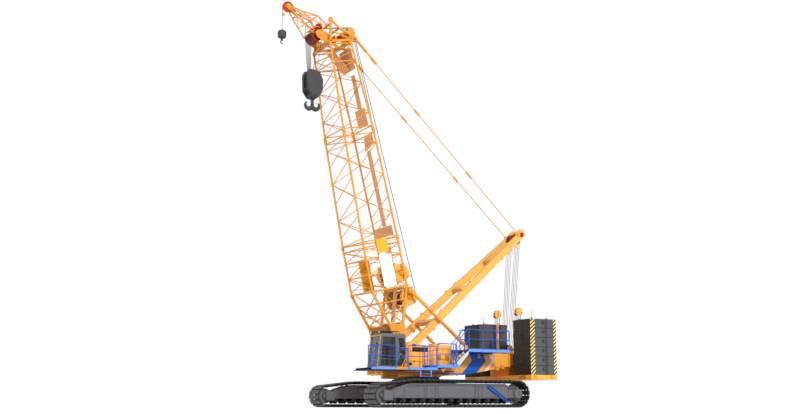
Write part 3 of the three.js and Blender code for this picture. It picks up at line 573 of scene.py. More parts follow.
class Sock:
    """A shader node's output, which Python expressions turn into Math nodes."""

    def __init__(self, graph: "Graph", output: bpy.types.NodeSocket) -> None:
        """Keeps the output and the graph that it belongs to."""
        self.graph = graph
        self.output = output

    def _maths(self, operation: str, first: Value, second: Value = 0.0,
               clamp: bool = False) -> "Sock":
        """Adds a Math node."""
        return self.graph.node("ShaderNodeMath", {"operation": operation, "use_clamp": clamp},
                               {0: first, 1: second})

    def __add__(self, other: Value) -> "Sock":
        """The sum of the two."""
        return self._maths("ADD", self, other)

    def __radd__(self, other: Value) -> "Sock":
        """The sum of the two."""
        return self._maths("ADD", other, self)

    def __sub__(self, other: Value) -> "Sock":
        """This less the other."""
        return self._maths("SUBTRACT", self, other)

    def __rsub__(self, other: Value) -> "Sock":
        """The other less this."""
        return self._maths("SUBTRACT", other, self)

    def __mul__(self, other: Value) -> "Sock":
        """The product of the two."""
        return self._maths("MULTIPLY", self, other)

    def __rmul__(self, other: Value) -> "Sock":
        """The product of the two."""
        return self._maths("MULTIPLY", other, self)

    def __truediv__(self, other: Value) -> "Sock":
        """This over the other."""
        return self._maths("DIVIDE", self, other)

    def __gt__(self, other: Value) -> "Sock":
        """1 where this is the larger, 0 elsewhere."""
        return self._maths("GREATER_THAN", self, other)

    def __lt__(self, other: Value) -> "Sock":
        """1 where this is the smaller, 0 elsewhere."""
        return self._maths("LESS_THAN", self, other)

    def __abs__(self) -> "Sock":
        """The value without its sign."""
        return self._maths("ABSOLUTE", self)

    def fraction(self) -> "Sock":
        """What is left above the whole number below."""
        return self._maths("FRACT", self)

    def sine(self) -> "Sock":
        """The sine of an angle in radians."""
        return self._maths("SINE", self)

    def clamped(self) -> "Sock":
        """The value held between 0 and 1."""
        return self._maths("ADD", self, 0.0, clamp=True)

    def between(self, low: float, high: float) -> "Sock":
        """1 where the value lies between two others, 0 elsewhere."""
        return (self > low) * (self < high)

    def ramp(self, low: float, high: float) -> "Sock":
        """0 below `low`, 1 above `high` and even between them."""
        return ((self - low) / (high - low)).clamped()


class Graph:
    """A material's node tree with its surface shader."""

    def __init__(self, name: str) -> None:
        """Starts a material with a plain surface shader.

        Args:
            name: The material's name.
        """
        self.material = bpy.data.materials.new(name)
        self.material.use_nodes = True
        self.nodes = self.material.node_tree.nodes
        self.links = self.material.node_tree.links
        self.shader = self.nodes["Principled BSDF"]

    def node(self, kind: str, settings: dict | None = None, inputs: dict | None = None,
             output: int | str = 0) -> Sock:
        """Adds a node.

        Args:
            kind: The node's type.
            settings: Its own settings, set first.
            inputs: A value or link for each of its sockets, by name or number.
            output: Which output to give back.

        Returns:
            The chosen output.
        """
        node = self.nodes.new(kind)
        for key, value in (settings or {}).items():
            setattr(node, key, value)
        for key, value in (inputs or {}).items():
            self.feed(node.inputs[key], value)
        return Sock(self, node.outputs[output])

    def feed(self, socket: bpy.types.NodeSocket, value: object) -> None:
        """Links a socket to an output, or sets its value.

        Args:
            socket: The socket to fill.
            value: A number, a colour or an output to link.
        """
        if isinstance(value, Sock):
            self.links.new(value.output, socket)
        elif socket.type == "RGBA":
            socket.default_value = (*value, 1.0)
        else:
            socket.default_value = value

    def set(self, **inputs: object) -> None:
        """Feeds the surface shader's sockets, named with underscores for spaces."""
        for key, value in inputs.items():
            self.feed(self.shader.inputs[key.replace("_", " ")], value)

    def coords(self) -> Sock:
        """The piece's own coordinates, which are the crane's at rest."""
        return self.node("ShaderNodeTexCoord", output="Object")

    def axes(self) -> tuple[Sock, Sock, Sock]:
        """Forward, across and up, from the slewing axis."""
        split = self.node("ShaderNodeSeparateXYZ", inputs={0: self.coords()})
        outputs = split.output.node.outputs
        return Sock(self, outputs[0]) - SLEW_X, Sock(self, outputs[1]), Sock(self, outputs[2])

    def noise(self, scale: float, detail: float = 3.0, stretch: Triple = (1, 1, 1),
              rough: float = 0.55) -> Sock:
        """Noise between 0 and 1, with `scale` spots a metre.

        Args:
            scale: How fine the noise is.
            detail: How many finer layers it has.
            stretch: The scale along each axis.
            rough: How strong its finest layers are.
        """
        spread = self.node("ShaderNodeMapping", inputs={"Vector": self.coords(), "Scale": stretch})
        return self.node("ShaderNodeTexNoise", inputs={
            "Vector": spread, "Scale": scale, "Detail": detail, "Roughness": rough})

    def blend(self, factor: Value, first: object, second: object) -> Sock:
        """Mixes two colours."""
        return self.node("ShaderNodeMix", {"data_type": "RGBA"},
                         {0: factor, 6: first, 7: second}, output=2)

    def up(self) -> Sock:
        """How much the surface faces upwards."""
        normal = self.node("ShaderNodeNewGeometry", output="Normal")
        split = self.node("ShaderNodeSeparateXYZ", inputs={0: normal}, output=2)
        return split

    def bump(self, height: Sock, distance: float, strength: float = 1.0) -> None:
        """Raises the surface by a height between 0 and 1, times a distance in metres."""
        self.set(Normal=self.node("ShaderNodeBump", inputs={
            "Height": height, "Distance": distance, "Strength": strength}))


@dataclass(frozen=True)
class Finish:
    """What a piece is made of or painted with."""

    name: str
    colour: Colour

    def material(self) -> bpy.types.Material:
        """The finish's material, made once.

        Returns:
            The material.
        """
        found = bpy.data.materials.get(self.name)
        if found:
            return found
        graph = Graph(self.name)
        self.dress(graph)
        return graph.material

    def dress(self, graph: Graph) -> None:
        """Fills in the surface shader."""
        graph.set(Base_Color=self.colour)


@dataclass(frozen=True)
class Paint(Finish):
    """Machine paint: a little uneven, dusty on top and streaked below, with a fine orange peel."""

    gloss: float = 0.58
    dust: float = 0.22
    fade: float = 0.08
    peel: float = 0.0006

    def pattern(self, graph: Graph) -> object:
        """The clean paint's colour, which a striped finish changes over the surface."""
        return self.colour

    def dress(self, graph: Graph) -> None:
        """Fills in the surface shader.

        Args:
            graph: The material's node tree.
        """
        patches = graph.noise(0.9, 4.0).ramp(0.35, 0.7)
        streaks = graph.noise(5.0, 3.0, (1, 1, 0.12)).ramp(0.55, 0.85)
        specks = graph.noise(38.0, 2.0).ramp(0.62, 0.72)
        top = graph.up().ramp(0.5, 1.0)
        darker = tuple(value * (1 - self.fade * 2.2) for value in self.colour)
        base = graph.blend(patches * self.fade * 4, self.pattern(graph), darker)
        dirt = (streaks * 0.35 + specks * 0.25 + top * patches) * self.dust
        graph.set(Base_Color=graph.blend(dirt.clamped(), base, shade(150, 132, 108)),
                  Roughness=(1 - self.gloss) + patches * 0.1 + dirt * 0.5,
                  Specular_IOR_Level=0.45)
        graph.bump(graph.noise(55.0, 2.0) * 0.6 + graph.noise(1.8, 2.0) * 1.2, self.peel)


@dataclass(frozen=True)
class FlankPaint(Paint):
    """The turntable's paint, with its blue edge line and its blue and white bands."""

    blue: Colour = shade(0, 86, 190)
    white: Colour = shade(240, 240, 236)
    flank: float = 1.49  # how far out the flanks start
    knee: float = 2.47  # the height at which the slanted bands bend
    slants: Pair = (-0.92, 0.5)  # how much they lean below the knee and above it
    blue_band: Pair = (-3.44, -2.54)
    blue_foot: float = 1.7
    white_band: Pair = (-4.0, -3.82)
    white_foot: float = 1.9
    line_height: Pair = (1.72, 1.79)
    line_run: Pair = (-2.7, 0.63)

    def pattern(self, graph: Graph) -> Sock:
        """The bands on the two flanks, set out along and up the side.

        Args:
            graph: The material's node tree.

        Returns:
            The colour, bands included.
        """
        x, y, z = graph.axes()
        below, above = self.slants
        outer = abs(y) > self.flank
        upper = z > self.knee
        lean = (z - self.knee) * (upper * (above - below) + below)
        blue = (x - lean).between(*self.blue_band) * (z > self.blue_foot)
        white = (x - lean).between(*self.white_band) * (z > self.white_foot)
        line = z.between(*self.line_height) * x.between(*self.line_run)
        body = graph.blend(outer * white, self.colour, self.white)
        return graph.blend(outer * (blue + line).clamped(), body, self.blue)


@dataclass(frozen=True)
class Cast(Finish):
    """Cast or rolled metal: a rough skin with a little rust and dry earth."""

    rust: float = 0.12
    earth: float = 0.15
    gloss: float = 0.38
    metal: float = 0.0
    skin: float = 0.004

    def dress(self, graph: Graph) -> None:
        """Fills in the surface shader.

        Args:
            graph: The material's node tree.
        """
        patches = graph.noise(2.2, 5.0).ramp(0.4, 0.75)
        grains = graph.noise(24.0, 4.0)
        pale = tuple(min(1.0, value * 1.7 + 0.012) for value in self.colour)
        base = graph.blend(grains.ramp(0.4, 0.75) * 0.45, self.colour, pale)
        base = graph.blend((patches * grains).ramp(0.2, 0.6) * self.rust, base, shade(112, 66, 40))
        dusty = graph.up().ramp(0.3, 1.0) * (0.4 + patches) * self.earth
        graph.set(Base_Color=graph.blend(dusty.clamped(), base, shade(138, 124, 104)),
                  Roughness=(1 - self.gloss) + grains * 0.2 - patches * 0.08,
                  Metallic=self.metal)
        graph.bump(grains + graph.noise(4.5, 3.0) * 1.4, self.skin)


@dataclass(frozen=True)
class WeightPaint(Cast):
    """The counterweights' grey, with a painted shadow on their front faces and striped bands down
    their outer corners.
    """

    band: Colour = shade(240, 212, 128)
    stripe: Colour = shade(26, 26, 26)
    # the colour of the painted shadow on the slabs' front faces
    shadow: Colour = shade(40, 37, 34)
    flank: float = 3.28  # how far out the sides start
    rear_band: Pair = (-6.86, -6.66)
    front_band: Pair = (-5.42, -5.13)
    front: float = -5.135
    pitch: float = 0.2  # from one stripe to the next
    slant: float = 0.9

    def dress(self, graph: Graph) -> None:
        """Fills in the surface shader, paints a shadow over the front faces, then paints the bands
        over it.

        Args:
            graph: The material's node tree.
        """
        super().dress(graph)
        x, y, z = graph.axes()
        plain = Sock(graph, graph.shader.inputs["Base Color"].links[0].from_socket)
        side = abs(y) > self.flank
        edge = (x.between(*self.rear_band) + x.between(*self.front_band)).clamped()
        turns = ((x * self.slant + z) / self.pitch).fraction()
        bands = graph.blend(turns > 0.5, self.band, self.stripe)
        worn = 1 - graph.noise(14.0, 4.0).ramp(0.66, 0.72) * 0.7
        # Painted shadow: faces ahead of `front` and off the sides take the shadow colour.
        shaded = graph.blend((x > self.front) * (1 - side), plain, self.shadow)
        graph.set(Base_Color=graph.blend(side * edge * worn, shaded, bands))


@dataclass(frozen=True)
class WireRope(Finish):
    """Wire rope: greased strands laid round each other."""

    lay: float = 0.16
    lean: Triple = (0.0, 0.0, 1.0)

    def dress(self, graph: Graph) -> None:
        """Fills in the surface shader.

        Args:
            graph: The material's node tree.
        """
        x, y, z = graph.axes()
        along = x * self.lean[0] + z * self.lean[2]
        strands = ((along + (x + y) * 0.9) * (2 * math.pi / self.lay * 3)).sine() * 0.5 + 0.5
        grease = graph.noise(6.0, 3.0).ramp(0.35, 0.7)
        base = graph.blend(strands, tuple(value * 0.45 for value in self.colour), self.colour)
        graph.set(Base_Color=graph.blend(grease * 0.4, base, shade(58, 54, 50)),
                  Roughness=0.42 + grease * 0.2, Metallic=0.55)
        graph.bump(strands, 0.004)


@dataclass(frozen=True)
class Glass(Finish):
    """Tinted cab glass with a film of dust low down."""

    clear: float = 0.72

    def dress(self, graph: Graph) -> None:
        """Fills in the surface shader.

        Args:
            graph: The material's node tree.
        """
        film = graph.noise(3.0, 4.0).ramp(0.45, 0.8)
        graph.set(Base_Color=graph.blend(film * 0.25, self.colour, shade(120, 118, 112)),
                  Roughness=0.03 + film * 0.12, Transmission_Weight=self.clear, IOR=1.45)


@dataclass(frozen=True)
class Cloth(Finish):
    """Woven seat cloth, which follows the piece's own coordinates."""

    thread: float = 0.006

    def dress(self, graph: Graph) -> None:
        """Fills in the surface shader.

        Args:
            graph: The material's node tree.
        """
        x, y, z = graph.axes()
        turns = 2 * math.pi / self.thread
        weave = ((x + z) * turns).sine() * (y * turns).sine() * 0.5 + 0.5
        worn = graph.noise(9.0, 4.0).ramp(0.4, 0.75)
        base = graph.blend(weave * 0.5, self.colour, tuple(value * 2.1 for value in self.colour))
        graph.set(Base_Color=graph.blend(worn * 0.25, base, shade(88, 86, 84)),
                  Roughness=0.86 + weave * 0.08, Sheen_Weight=0.35, Sheen_Roughness=0.5)
        graph.bump(weave, 0.0012)


@dataclass(frozen=True)
class Tread(Paint):
    """Painted deck plate with raised bars that keep a boot from slipping."""

    def dress(self, graph: Graph) -> None:
        """Fills in the surface shader.

        Args:
            graph: The material's node tree.
        """
        super().dress(graph)
        x, y, _ = graph.axes()
        first = ((x + y) * 52.0).sine() * ((x - y) * 17.0).sine()
        lift = first.ramp(0.55, 0.75) * graph.up().ramp(0.8, 0.95)
        graph.bump(lift, 0.005)


@dataclass(frozen=True)
class Lens(Finish):
    """A lamp's moulded lens."""

    def dress(self, graph: Graph) -> None:
        """Fills in the surface shader.

        Args:
            graph: The material's node tree.
        """
        _, y, z = graph.axes()
        ribs = (y * 260.0).sine() * (z * 260.0).sine() * 0.5 + 0.5
        graph.set(Base_Color=graph.blend(ribs * 0.3, self.colour, (0.9, 0.9, 0.88)),
                  Roughness=0.12 + ribs * 0.08, Transmission_Weight=0.2, Coat_Weight=0.6)
        graph.bump(ribs, 0.002)


BOOM_PAINT = Paint("boom paint", shade(226, 148, 32))
MAST_PAINT = Paint("mast paint", shade(250, 178, 78))
HOUSING_PAINT = Paint("housing paint", shade(249, 172, 66))
FLANK_PAINT = FlankPaint("flank paint", shade(247, 170, 70), fade=0.0, dust=0.12)
ORANGE = Paint("orange paint", shade(222, 140, 36))
TAN = Paint("walkway paint", shade(224, 158, 98), dust=0.3)
BLUE = Paint("blue paint", shade(12, 78, 174), dust=0.08)
# The blue paint lightened: a painted highlight for the sun on the outward left-hand edges.
BLUE_PAINTED_HIGHLIGHT = Paint("blue paint with painted highlight", shade(92, 150, 232), dust=0.2)
BLUE_DECK = Tread("blue deck", shade(52, 104, 180), dust=0.35)
FRAME_GREY = Paint("frame paint", shade(92, 93, 95), gloss=0.45, dust=0.4, peel=0.0012)
CAB_GREY = Paint("cab paint", shade(98, 99, 101), gloss=0.55)
DARK = Paint("dark trim", shade(30, 31, 33), gloss=0.5, dust=0.3)
SIGN_WHITE = Paint("white panel", shade(236, 237, 236), dust=0.15)
SIGN_YELLOW = Paint("yellow panel", shade(243, 172, 22), dust=0.15)
SHOE_STEEL = Cast("shoe steel", shade(20, 20, 20), rust=0.15, earth=0.06)
PAD_STEEL = Cast("worn shoe steel", shade(74, 74, 75), rust=0.1, earth=0.15, gloss=0.45)
BARE_STEEL = Cast("bare steel", shade(150, 150, 150), rust=0.2, metal=0.7, gloss=0.55)
HOOK_GREY = Cast("hook grey", shade(50, 51, 52), rust=0.08, earth=0.08, gloss=0.4)
WEIGHT_GREY = WeightPaint("weight grey", shade(72, 73, 76), rust=0.06, earth=0.18, gloss=0.3)
BRIGHT_RED = Paint("bright red", shade(206, 44, 26), gloss=0.6, dust=0.15)
SHEAVE_RED = Paint("sheave red", shade(132, 24, 20), gloss=0.55, dust=0.2)
ROPE = WireRope("wire rope", shade(112, 114, 114))
ROPE_DARK = WireRope("greased rope", shade(62, 62, 62))
CHROME = Cast("rod chrome", shade(205, 206, 208), rust=0.02, earth=0.02, gloss=0.85, metal=0.9,
              skin=0.0004)
GLASS = Glass("cab glass", shade(176, 192, 200), clear=0.85)
DARK_GLASS = Glass("dark glass", shade(26, 27, 29), clear=0.12)
STEP_GREY = Paint("step grey", shade(196, 200, 204), dust=0.3)
ROPE_WOUND = WireRope("wound rope", shade(176, 120, 66))
SEAT_CLOTH = Cloth("seat cloth", shade(44, 46, 52))
RUBBER = Cast("rubber", shade(34, 34, 35), rust=0.0, earth=0.2, gloss=0.3, skin=0.001)
LENS = Lens("lamp lens", shade(225, 228, 230))


# --------------------------------------------------------------------------------------------
# Shared small parts
# --------------------------------------------------------------------------------------------


class Side(Enum):
    """The two sides of the crane."""

    LEFT = 1
    RIGHT = -1

    @property
    def word(self) -> str:
        """The side's name, as the CAD nodes begin with it."""
        return self.name.lower()


def bolt_ring(form: Form, centre: Vector, along: Vector, radius: float, count: int,
              size: float = 0.022, height: float = 0.02) -> None:
    """Adds a ring of hexagonal bolt heads.

    Args:
        form: The piece that gets them.
        centre: The middle of the ring, on the face under the heads.
        along: The way the heads stand up.
        radius: The ring's radius.
        count: How many heads.
        size: A head's radius.
        height: A head's height.
    """
    turn = basis(along)
    for index in range(count):
        angle = 2 * math.pi * index / count
        foot = centre + turn @ Vector((math.cos(angle), math.sin(angle), 0)) * radius
        form.tube(foot - along.normalized() * 0.004, foot + along.normalized() * height, size, 6)


def toothed(count: int, root: float, tip: float) -> list[Pair]:
    """The outline of a wheel with square-cut teeth, about its own centre.

    Args:
        count: How many teeth.
        root: The radius between the teeth.
        tip: The radius at their tips.

    Returns:
        Its points, in order.
    """
    outline = []
    for index in range(count):
        for share, radius in ((0.06, root), (0.3, tip), (0.7, tip), (0.94, root)):
            angle = 2 * math.pi * (index + share) / count
            outline.append((radius * math.cos(angle), radius * math.sin(angle)))
    return outline


def grooved(radius: float, width: float, groove: float = 0.045, hub: float = 0.0) -> list[Pair]:
    """The profile of a rope sheave's rim and web, from one side to the other.

    Args:
        radius: The wheel's radius.
        width: Its whole width.
        groove: How deep its groove is.
        hub: The radius of its hub, or 0 for none.

    Returns:
        Its profile, as pairs of a place along the axle and a radius.
    """
    half = width / 2
    web = half * 0.35
    inner = hub or radius * 0.3
    return [(-half * 1.25, inner), (-web, inner * 1.05), (-web, radius * 0.8),
            (-half, radius * 0.84), (-half, radius), (-half * 0.55, radius),
            (0, radius - groove), (half * 0.55, radius), (half, radius), (half, radius * 0.84),
            (web, radius * 0.8), (web, inner * 1.05), (half * 1.25, inner)]


# --------------------------------------------------------------------------------------------
# Undercarriage
# --------------------------------------------------------------------------------------------


@dataclass
class Belt:
    """The line that a track's outer faces follow, round its wheels."""

    wheels: tuple[Triple, ...] = ((-3.9, 0.7, 0.7), (4.0, 0.6, 0.6), (2.3, 1.14, 0.26))
    points: list[Vector] = field(default_factory=list)
    reach: list[float] = field(default_factory=list)

    def __post_init__(self) -> None:
        """Sets out the straight runs and the turns."""
        count = len(self.wheels)
        for index, (x, z, radius) in enumerate(self.wheels):
            start = self.leaving(self.wheels[index - 1], self.wheels[index])
            end = self.leaving(self.wheels[index], self.wheels[(index + 1) % count])
            while end < start:
                end += 2 * math.pi
            for angle in steps(start, end, max(3, round((end - start) * 14))):
                self.points.append(Vector((x + radius * math.cos(angle), 0,
                                           z + radius * math.sin(angle))))
        self.points.append(self.points[0])
        spans = [(b - a).length for a, b in zip(self.points, self.points[1:])]
        self.reach = [0.0, *itertools.accumulate(spans)]

    @staticmethod
    def leaving(first: Triple, second: Triple) -> float:
        """The angle at which the straight run to the next wheel leaves the first."""
        across, up = second[0] - first[0], second[1] - first[1]
        return math.atan2(up, across) - math.acos((first[2] - second[2]) / math.hypot(across, up))

    def place(self, distance: float, y: float) -> Matrix:
        """The place of something on the belt: X along it, Z out of it.

        Args:
            distance: How far round the belt, from its first point.
            y: How far across the crane.

        Returns:
            Its place and turn.
        """
        distance %= self.reach[-1]
        index = next(i for i, far in enumerate(self.reach) if far > distance) - 1
        start, end = self.points[index], self.points[index + 1]
        way = (end - start).normalized()
        spot = start + way * (distance - self.reach[index])
        turn = Matrix((way, Vector((0, -1, 0)), Vector((way.z, 0, -way.x)))).transposed()
        return Matrix.Translation(spot + Vector((SLEW_X, y, 0))) @ turn.to_4x4()


@dataclass
class Track:
    """One crawler: shoes, frame, rollers, idler and driven sprocket."""

    side: Side
    gauge: float = 6.6
    shoe_width: float = 1.2
    shoe_count: int = 68
    frame_width: float = 0.9
    roller_count: int = 13
    rear: float = -3.32
    front: float = 3.52
    driven: Pair = (-3.9, 0.7)  # the middle of the sprocket, along and up
    free: Pair = (4.0, 0.6)  # the middle of the idler
    belt: Belt = field(default_factory=Belt)
    body: str = "undercarriage"

    @property
    def middle(self) -> float:
        """The track's centre line across the crane."""
        return self.side.value * self.gauge / 2

    def across(self, out: float) -> float:
        """A place across the track, `out` towards the crane's outside."""
        return self.middle + self.side.value * out

    def box(self, form: Form, x: Pair, out: Pair, z: Pair, bevel: float = 0.01) -> None:
        """Adds a box between places along, out across and up the track."""
        ys = sorted(self.across(value) for value in out)
        form.box(at(x[0], ys[0], z[0]), at(x[1], ys[1], z[1]), bevel)

    def disc(self, form: Form, x: float, z: float, profile: Sequence[Pair],
             sides: int = 28) -> None:
        """Adds a turned shape whose axis lies across the track, offsets measured outwards."""
        form.turned(at(x, self.middle, z), Vector((0, self.side.value, 0)), profile, sides)

    def build(self) -> None:
        """Builds the whole track."""
        self.shoes()
        self.frame()
        self.rollers()
        self.sprocket()
        self.idler()
        self.drive()

    def shoes(self) -> None:
        """Models one shoe, its lugs and its worn pad and copies them round the belt."""
        pitch = self.belt.reach[-1] / self.shoe_count
        half, end = pitch / 2, self.shoe_width / 2
        places = [self.belt.place((index + 0.5) * pitch, self.middle)
                  for index in range(self.shoe_count)]
        form = Form("shoe")
        form.box((-half + 0.03, -end, -0.095), (half - 0.03, end, -0.014), 0.02)
        for out in (-1, 1):
            low, high = sorted((out * 0.055, out * 0.17))
            form.box((-half + 0.05, low, -0.165), (half - 0.05, high, -0.07), 0.02)
            low, high = sorted((out * 0.2, out * 0.3))
            form.box((-half - 0.02, low, -0.115), (half - 0.06, high, -0.045), 0.02)
            low, high = sorted((out * (end - 0.16), out * (end - 0.05)))
            form.box((-half - 0.01, low, -0.1), (-half + 0.05, high, -0.05), 0.01)
        shoes = copies(f"{self.side.word}_track_shoes", form.solid(), places)
        settle(shoes, self.body, SHOE_STEEL, [f"{self.side.word}_track"])
        form = Form("pad")
        for out in (-1, 1):
            low, high = sorted((out * 0.02, out * (end - 0.012)))
            form.box((-half + 0.042, low, -0.03), (half - 0.042, high, 0.0), 0.014)
        pads = copies(f"{self.side.word}_track_pads", form.solid(), places)
        settle(pads, self.body, PAD_STEEL)

    def frame(self) -> None:
        """The box frame with its cover plates, slots, forks and top rollers' posts."""
        form = Form(f"{self.side.word}_track_beam")
        half = self.frame_width / 2
        outline = [(self.rear, 0.5), (self.rear + 0.06, 0.46), (self.front - 0.06, 0.46),
                   (self.front, 0.5), (self.front, 0.9), (2.72, 1.16), (self.rear, 1.16)]
        low, high = sorted((self.across(-half), self.across(half - 0.03)))
        form.plate(outline, low, high, bevel=0.018)
        skin = (half - 0.035, half)
        for x0, x1, z0, z1 in ((-3.26, -1.72, 0.5, 1.08), (-1.2, 0.93, 0.5, 1.08),
                               (1.3, 1.58, 0.5, 1.08), (1.76, 2.86, 0.5, 1.0),
                               (3.0, 3.46, 0.52, 0.9)):
            self.box(form, (x0, x1), skin, (z0, z1), 0.012)
        for x in (-1.55, -1.36, 1.02, 1.66):
            self.box(form, (x, x + 0.07), (half - 0.04, half + 0.012), (0.52, 1.06), 0.01)
        self.box(form, (-3.3, 3.2), (half - 0.02, half + 0.03), (0.462, 0.5), 0.006)
        self.box(form, (-3.3, 2.55), (half - 0.02, half + 0.03), (1.09, 1.128), 0.006)
        for x in (-2.9, -2.1, -0.6, 0.4, 2.1, 2.6):
            spot = at(x, self.across(half), 0.99)
            bolt_ring(form, spot, Vector((0, self.side.value, 0)), 0.06, 4, 0.014, 0.014)
        for x in (-2.2, 0.0, 2.1):
            for out in (-0.24, 0.17):
                self.box(form, (x - 0.13, x + 0.13), (out, out + 0.07), (1.1, 1.205), 0.015)
        for out in (-0.34, 0.27):
            self.box(form, (-3.2, 2.5), (out, out + 0.06), (1.15, 1.205), 0.01)
        for (x, z), beyond, reach in ((self.driven, self.rear + 0.05, 0.22),
                                      (self.free, self.front - 0.05, 0.26)):
            for out in (-0.43, 0.27):
                near, far = sorted((x, beyond))
                self.box(form, (near, far), (out, out + 0.15), (z - reach, z + reach), 0.03)
        self.box(form, (-0.2, 0.9), (-half - 0.16, -half + 0.02), (0.62, 0.98), 0.02)
        self.box(form, (1.15, 2.1), (-half - 0.22, -half + 0.02), (0.72, 1.02), 0.02)
        form.done(self.body, FRAME_GREY, [f"{self.side.word}_track_frame"])

    def rollers(self) -> None:
        """The flanged rollers that run on the belt, below and above the frame."""
        form = Form(f"{self.side.word}_track_rollers")
        profile = [(-0.3, 0.05), (-0.29, 0.13), (-0.26, 0.153), (-0.2, 0.153), (-0.19, 0.128),
                   (0.19, 0.128), (0.2, 0.153), (0.26, 0.153), (0.29, 0.13), (0.3, 0.05)]
        for x in steps(self.rear + 0.12, self.front - 0.12, self.roller_count):
            self.disc(form, x, 0.335, profile, 18)
            for out in (-0.4, 0.31):
                self.box(form, (x - 0.1, x + 0.1), (out, out + 0.09), (0.28, 0.49), 0.02)
            self.disc(form, x, 0.335, [(0.38, 0.07), (0.43, 0.06), (0.44, 0.03)], 10)
        self.box(form, (self.rear, self.front), (-0.05, 0.05), (0.3, 0.48), 0.01)
        for x in (-2.2, 0.0, 2.1):
            self.disc(form, x, 1.115, [(-0.16, 0.05), (-0.15, 0.1), (0.15, 0.1), (0.16, 0.05)], 16)
        form.done(self.body, SHOE_STEEL)

    def sprocket(self) -> None:
        """The driven wheel at the rear, its teeth between the shoes' lugs."""
        form = Form(f"{self.side.word}_drive_wheel")
        outline = [(x + self.driven[0], z + self.driven[1])
                   for x, z in toothed(17, 0.455, 0.512)]
        low, high = sorted((self.across(-0.045), self.across(0.045)))
        form.plate(outline, low, high, bevel=0.006)
        self.disc(form, *self.driven,
                  [(-0.4, 0.2), (-0.39, 0.22), (-0.12, 0.27), (-0.1, 0.4), (-0.04, 0.42),
                   (0.04, 0.42), (0.1, 0.4), (0.12, 0.3), (0.25, 0.3)], 32)
        form.done(self.body, FRAME_GREY, [f"{self.side.word}_sprocket"])

    def idler(self) -> None:
        """The free wheel at the front, with its dished web and tensioning slide."""
        form = Form(f"{self.side.word}_idler_wheel")
        self.disc(form, *self.free,
                  [(-0.3, 0.05), (-0.29, 0.13), (-0.17, 0.15), (-0.16, 0.3), (-0.19, 0.34),
                   (-0.19, 0.41), (-0.045, 0.415), (-0.04, 0.385), (0.04, 0.385), (0.045, 0.415),
                   (0.19, 0.41), (0.19, 0.34), (0.16, 0.3), (0.17, 0.15), (0.29, 0.13),
                   (0.3, 0.05)], 32)
        for out in (-1, 1):
            bolt_ring(form, at(self.free[0], self.across(out * 0.29), self.free[1]),
                      Vector((0, self.side.value * out, 0)), 0.085, 6, 0.016, 0.014)
        form.done(self.body, FRAME_GREY, [f"{self.side.word}_idler"])

    def drive(self) -> None:
        """The travel drive's round case outside the sprocket, with its ring of bolts."""
        form = Form(f"{self.side.word}_travel_drive")
        x, z = self.driven
        self.disc(form, x, z,
                  [(0.24, 0.29), (0.3, 0.312), (0.36, 0.312), (0.37, 0.285), (0.47, 0.275),
                   (0.49, 0.25), (0.54, 0.24), (0.555, 0.21), (0.556, 0.1), (0.535, 0.09),
                   (0.535, 0.03)], 36)
        out = Vector((0, self.side.value, 0))
        bolt_ring(form, at(x, self.across(0.36), z), out, 0.297, 20, 0.013, 0.014)
        bolt_ring(form, at(x, self.across(0.54), z), out, 0.225, 12, 0.014, 0.014)
        form.done(self.body, FRAME_GREY)


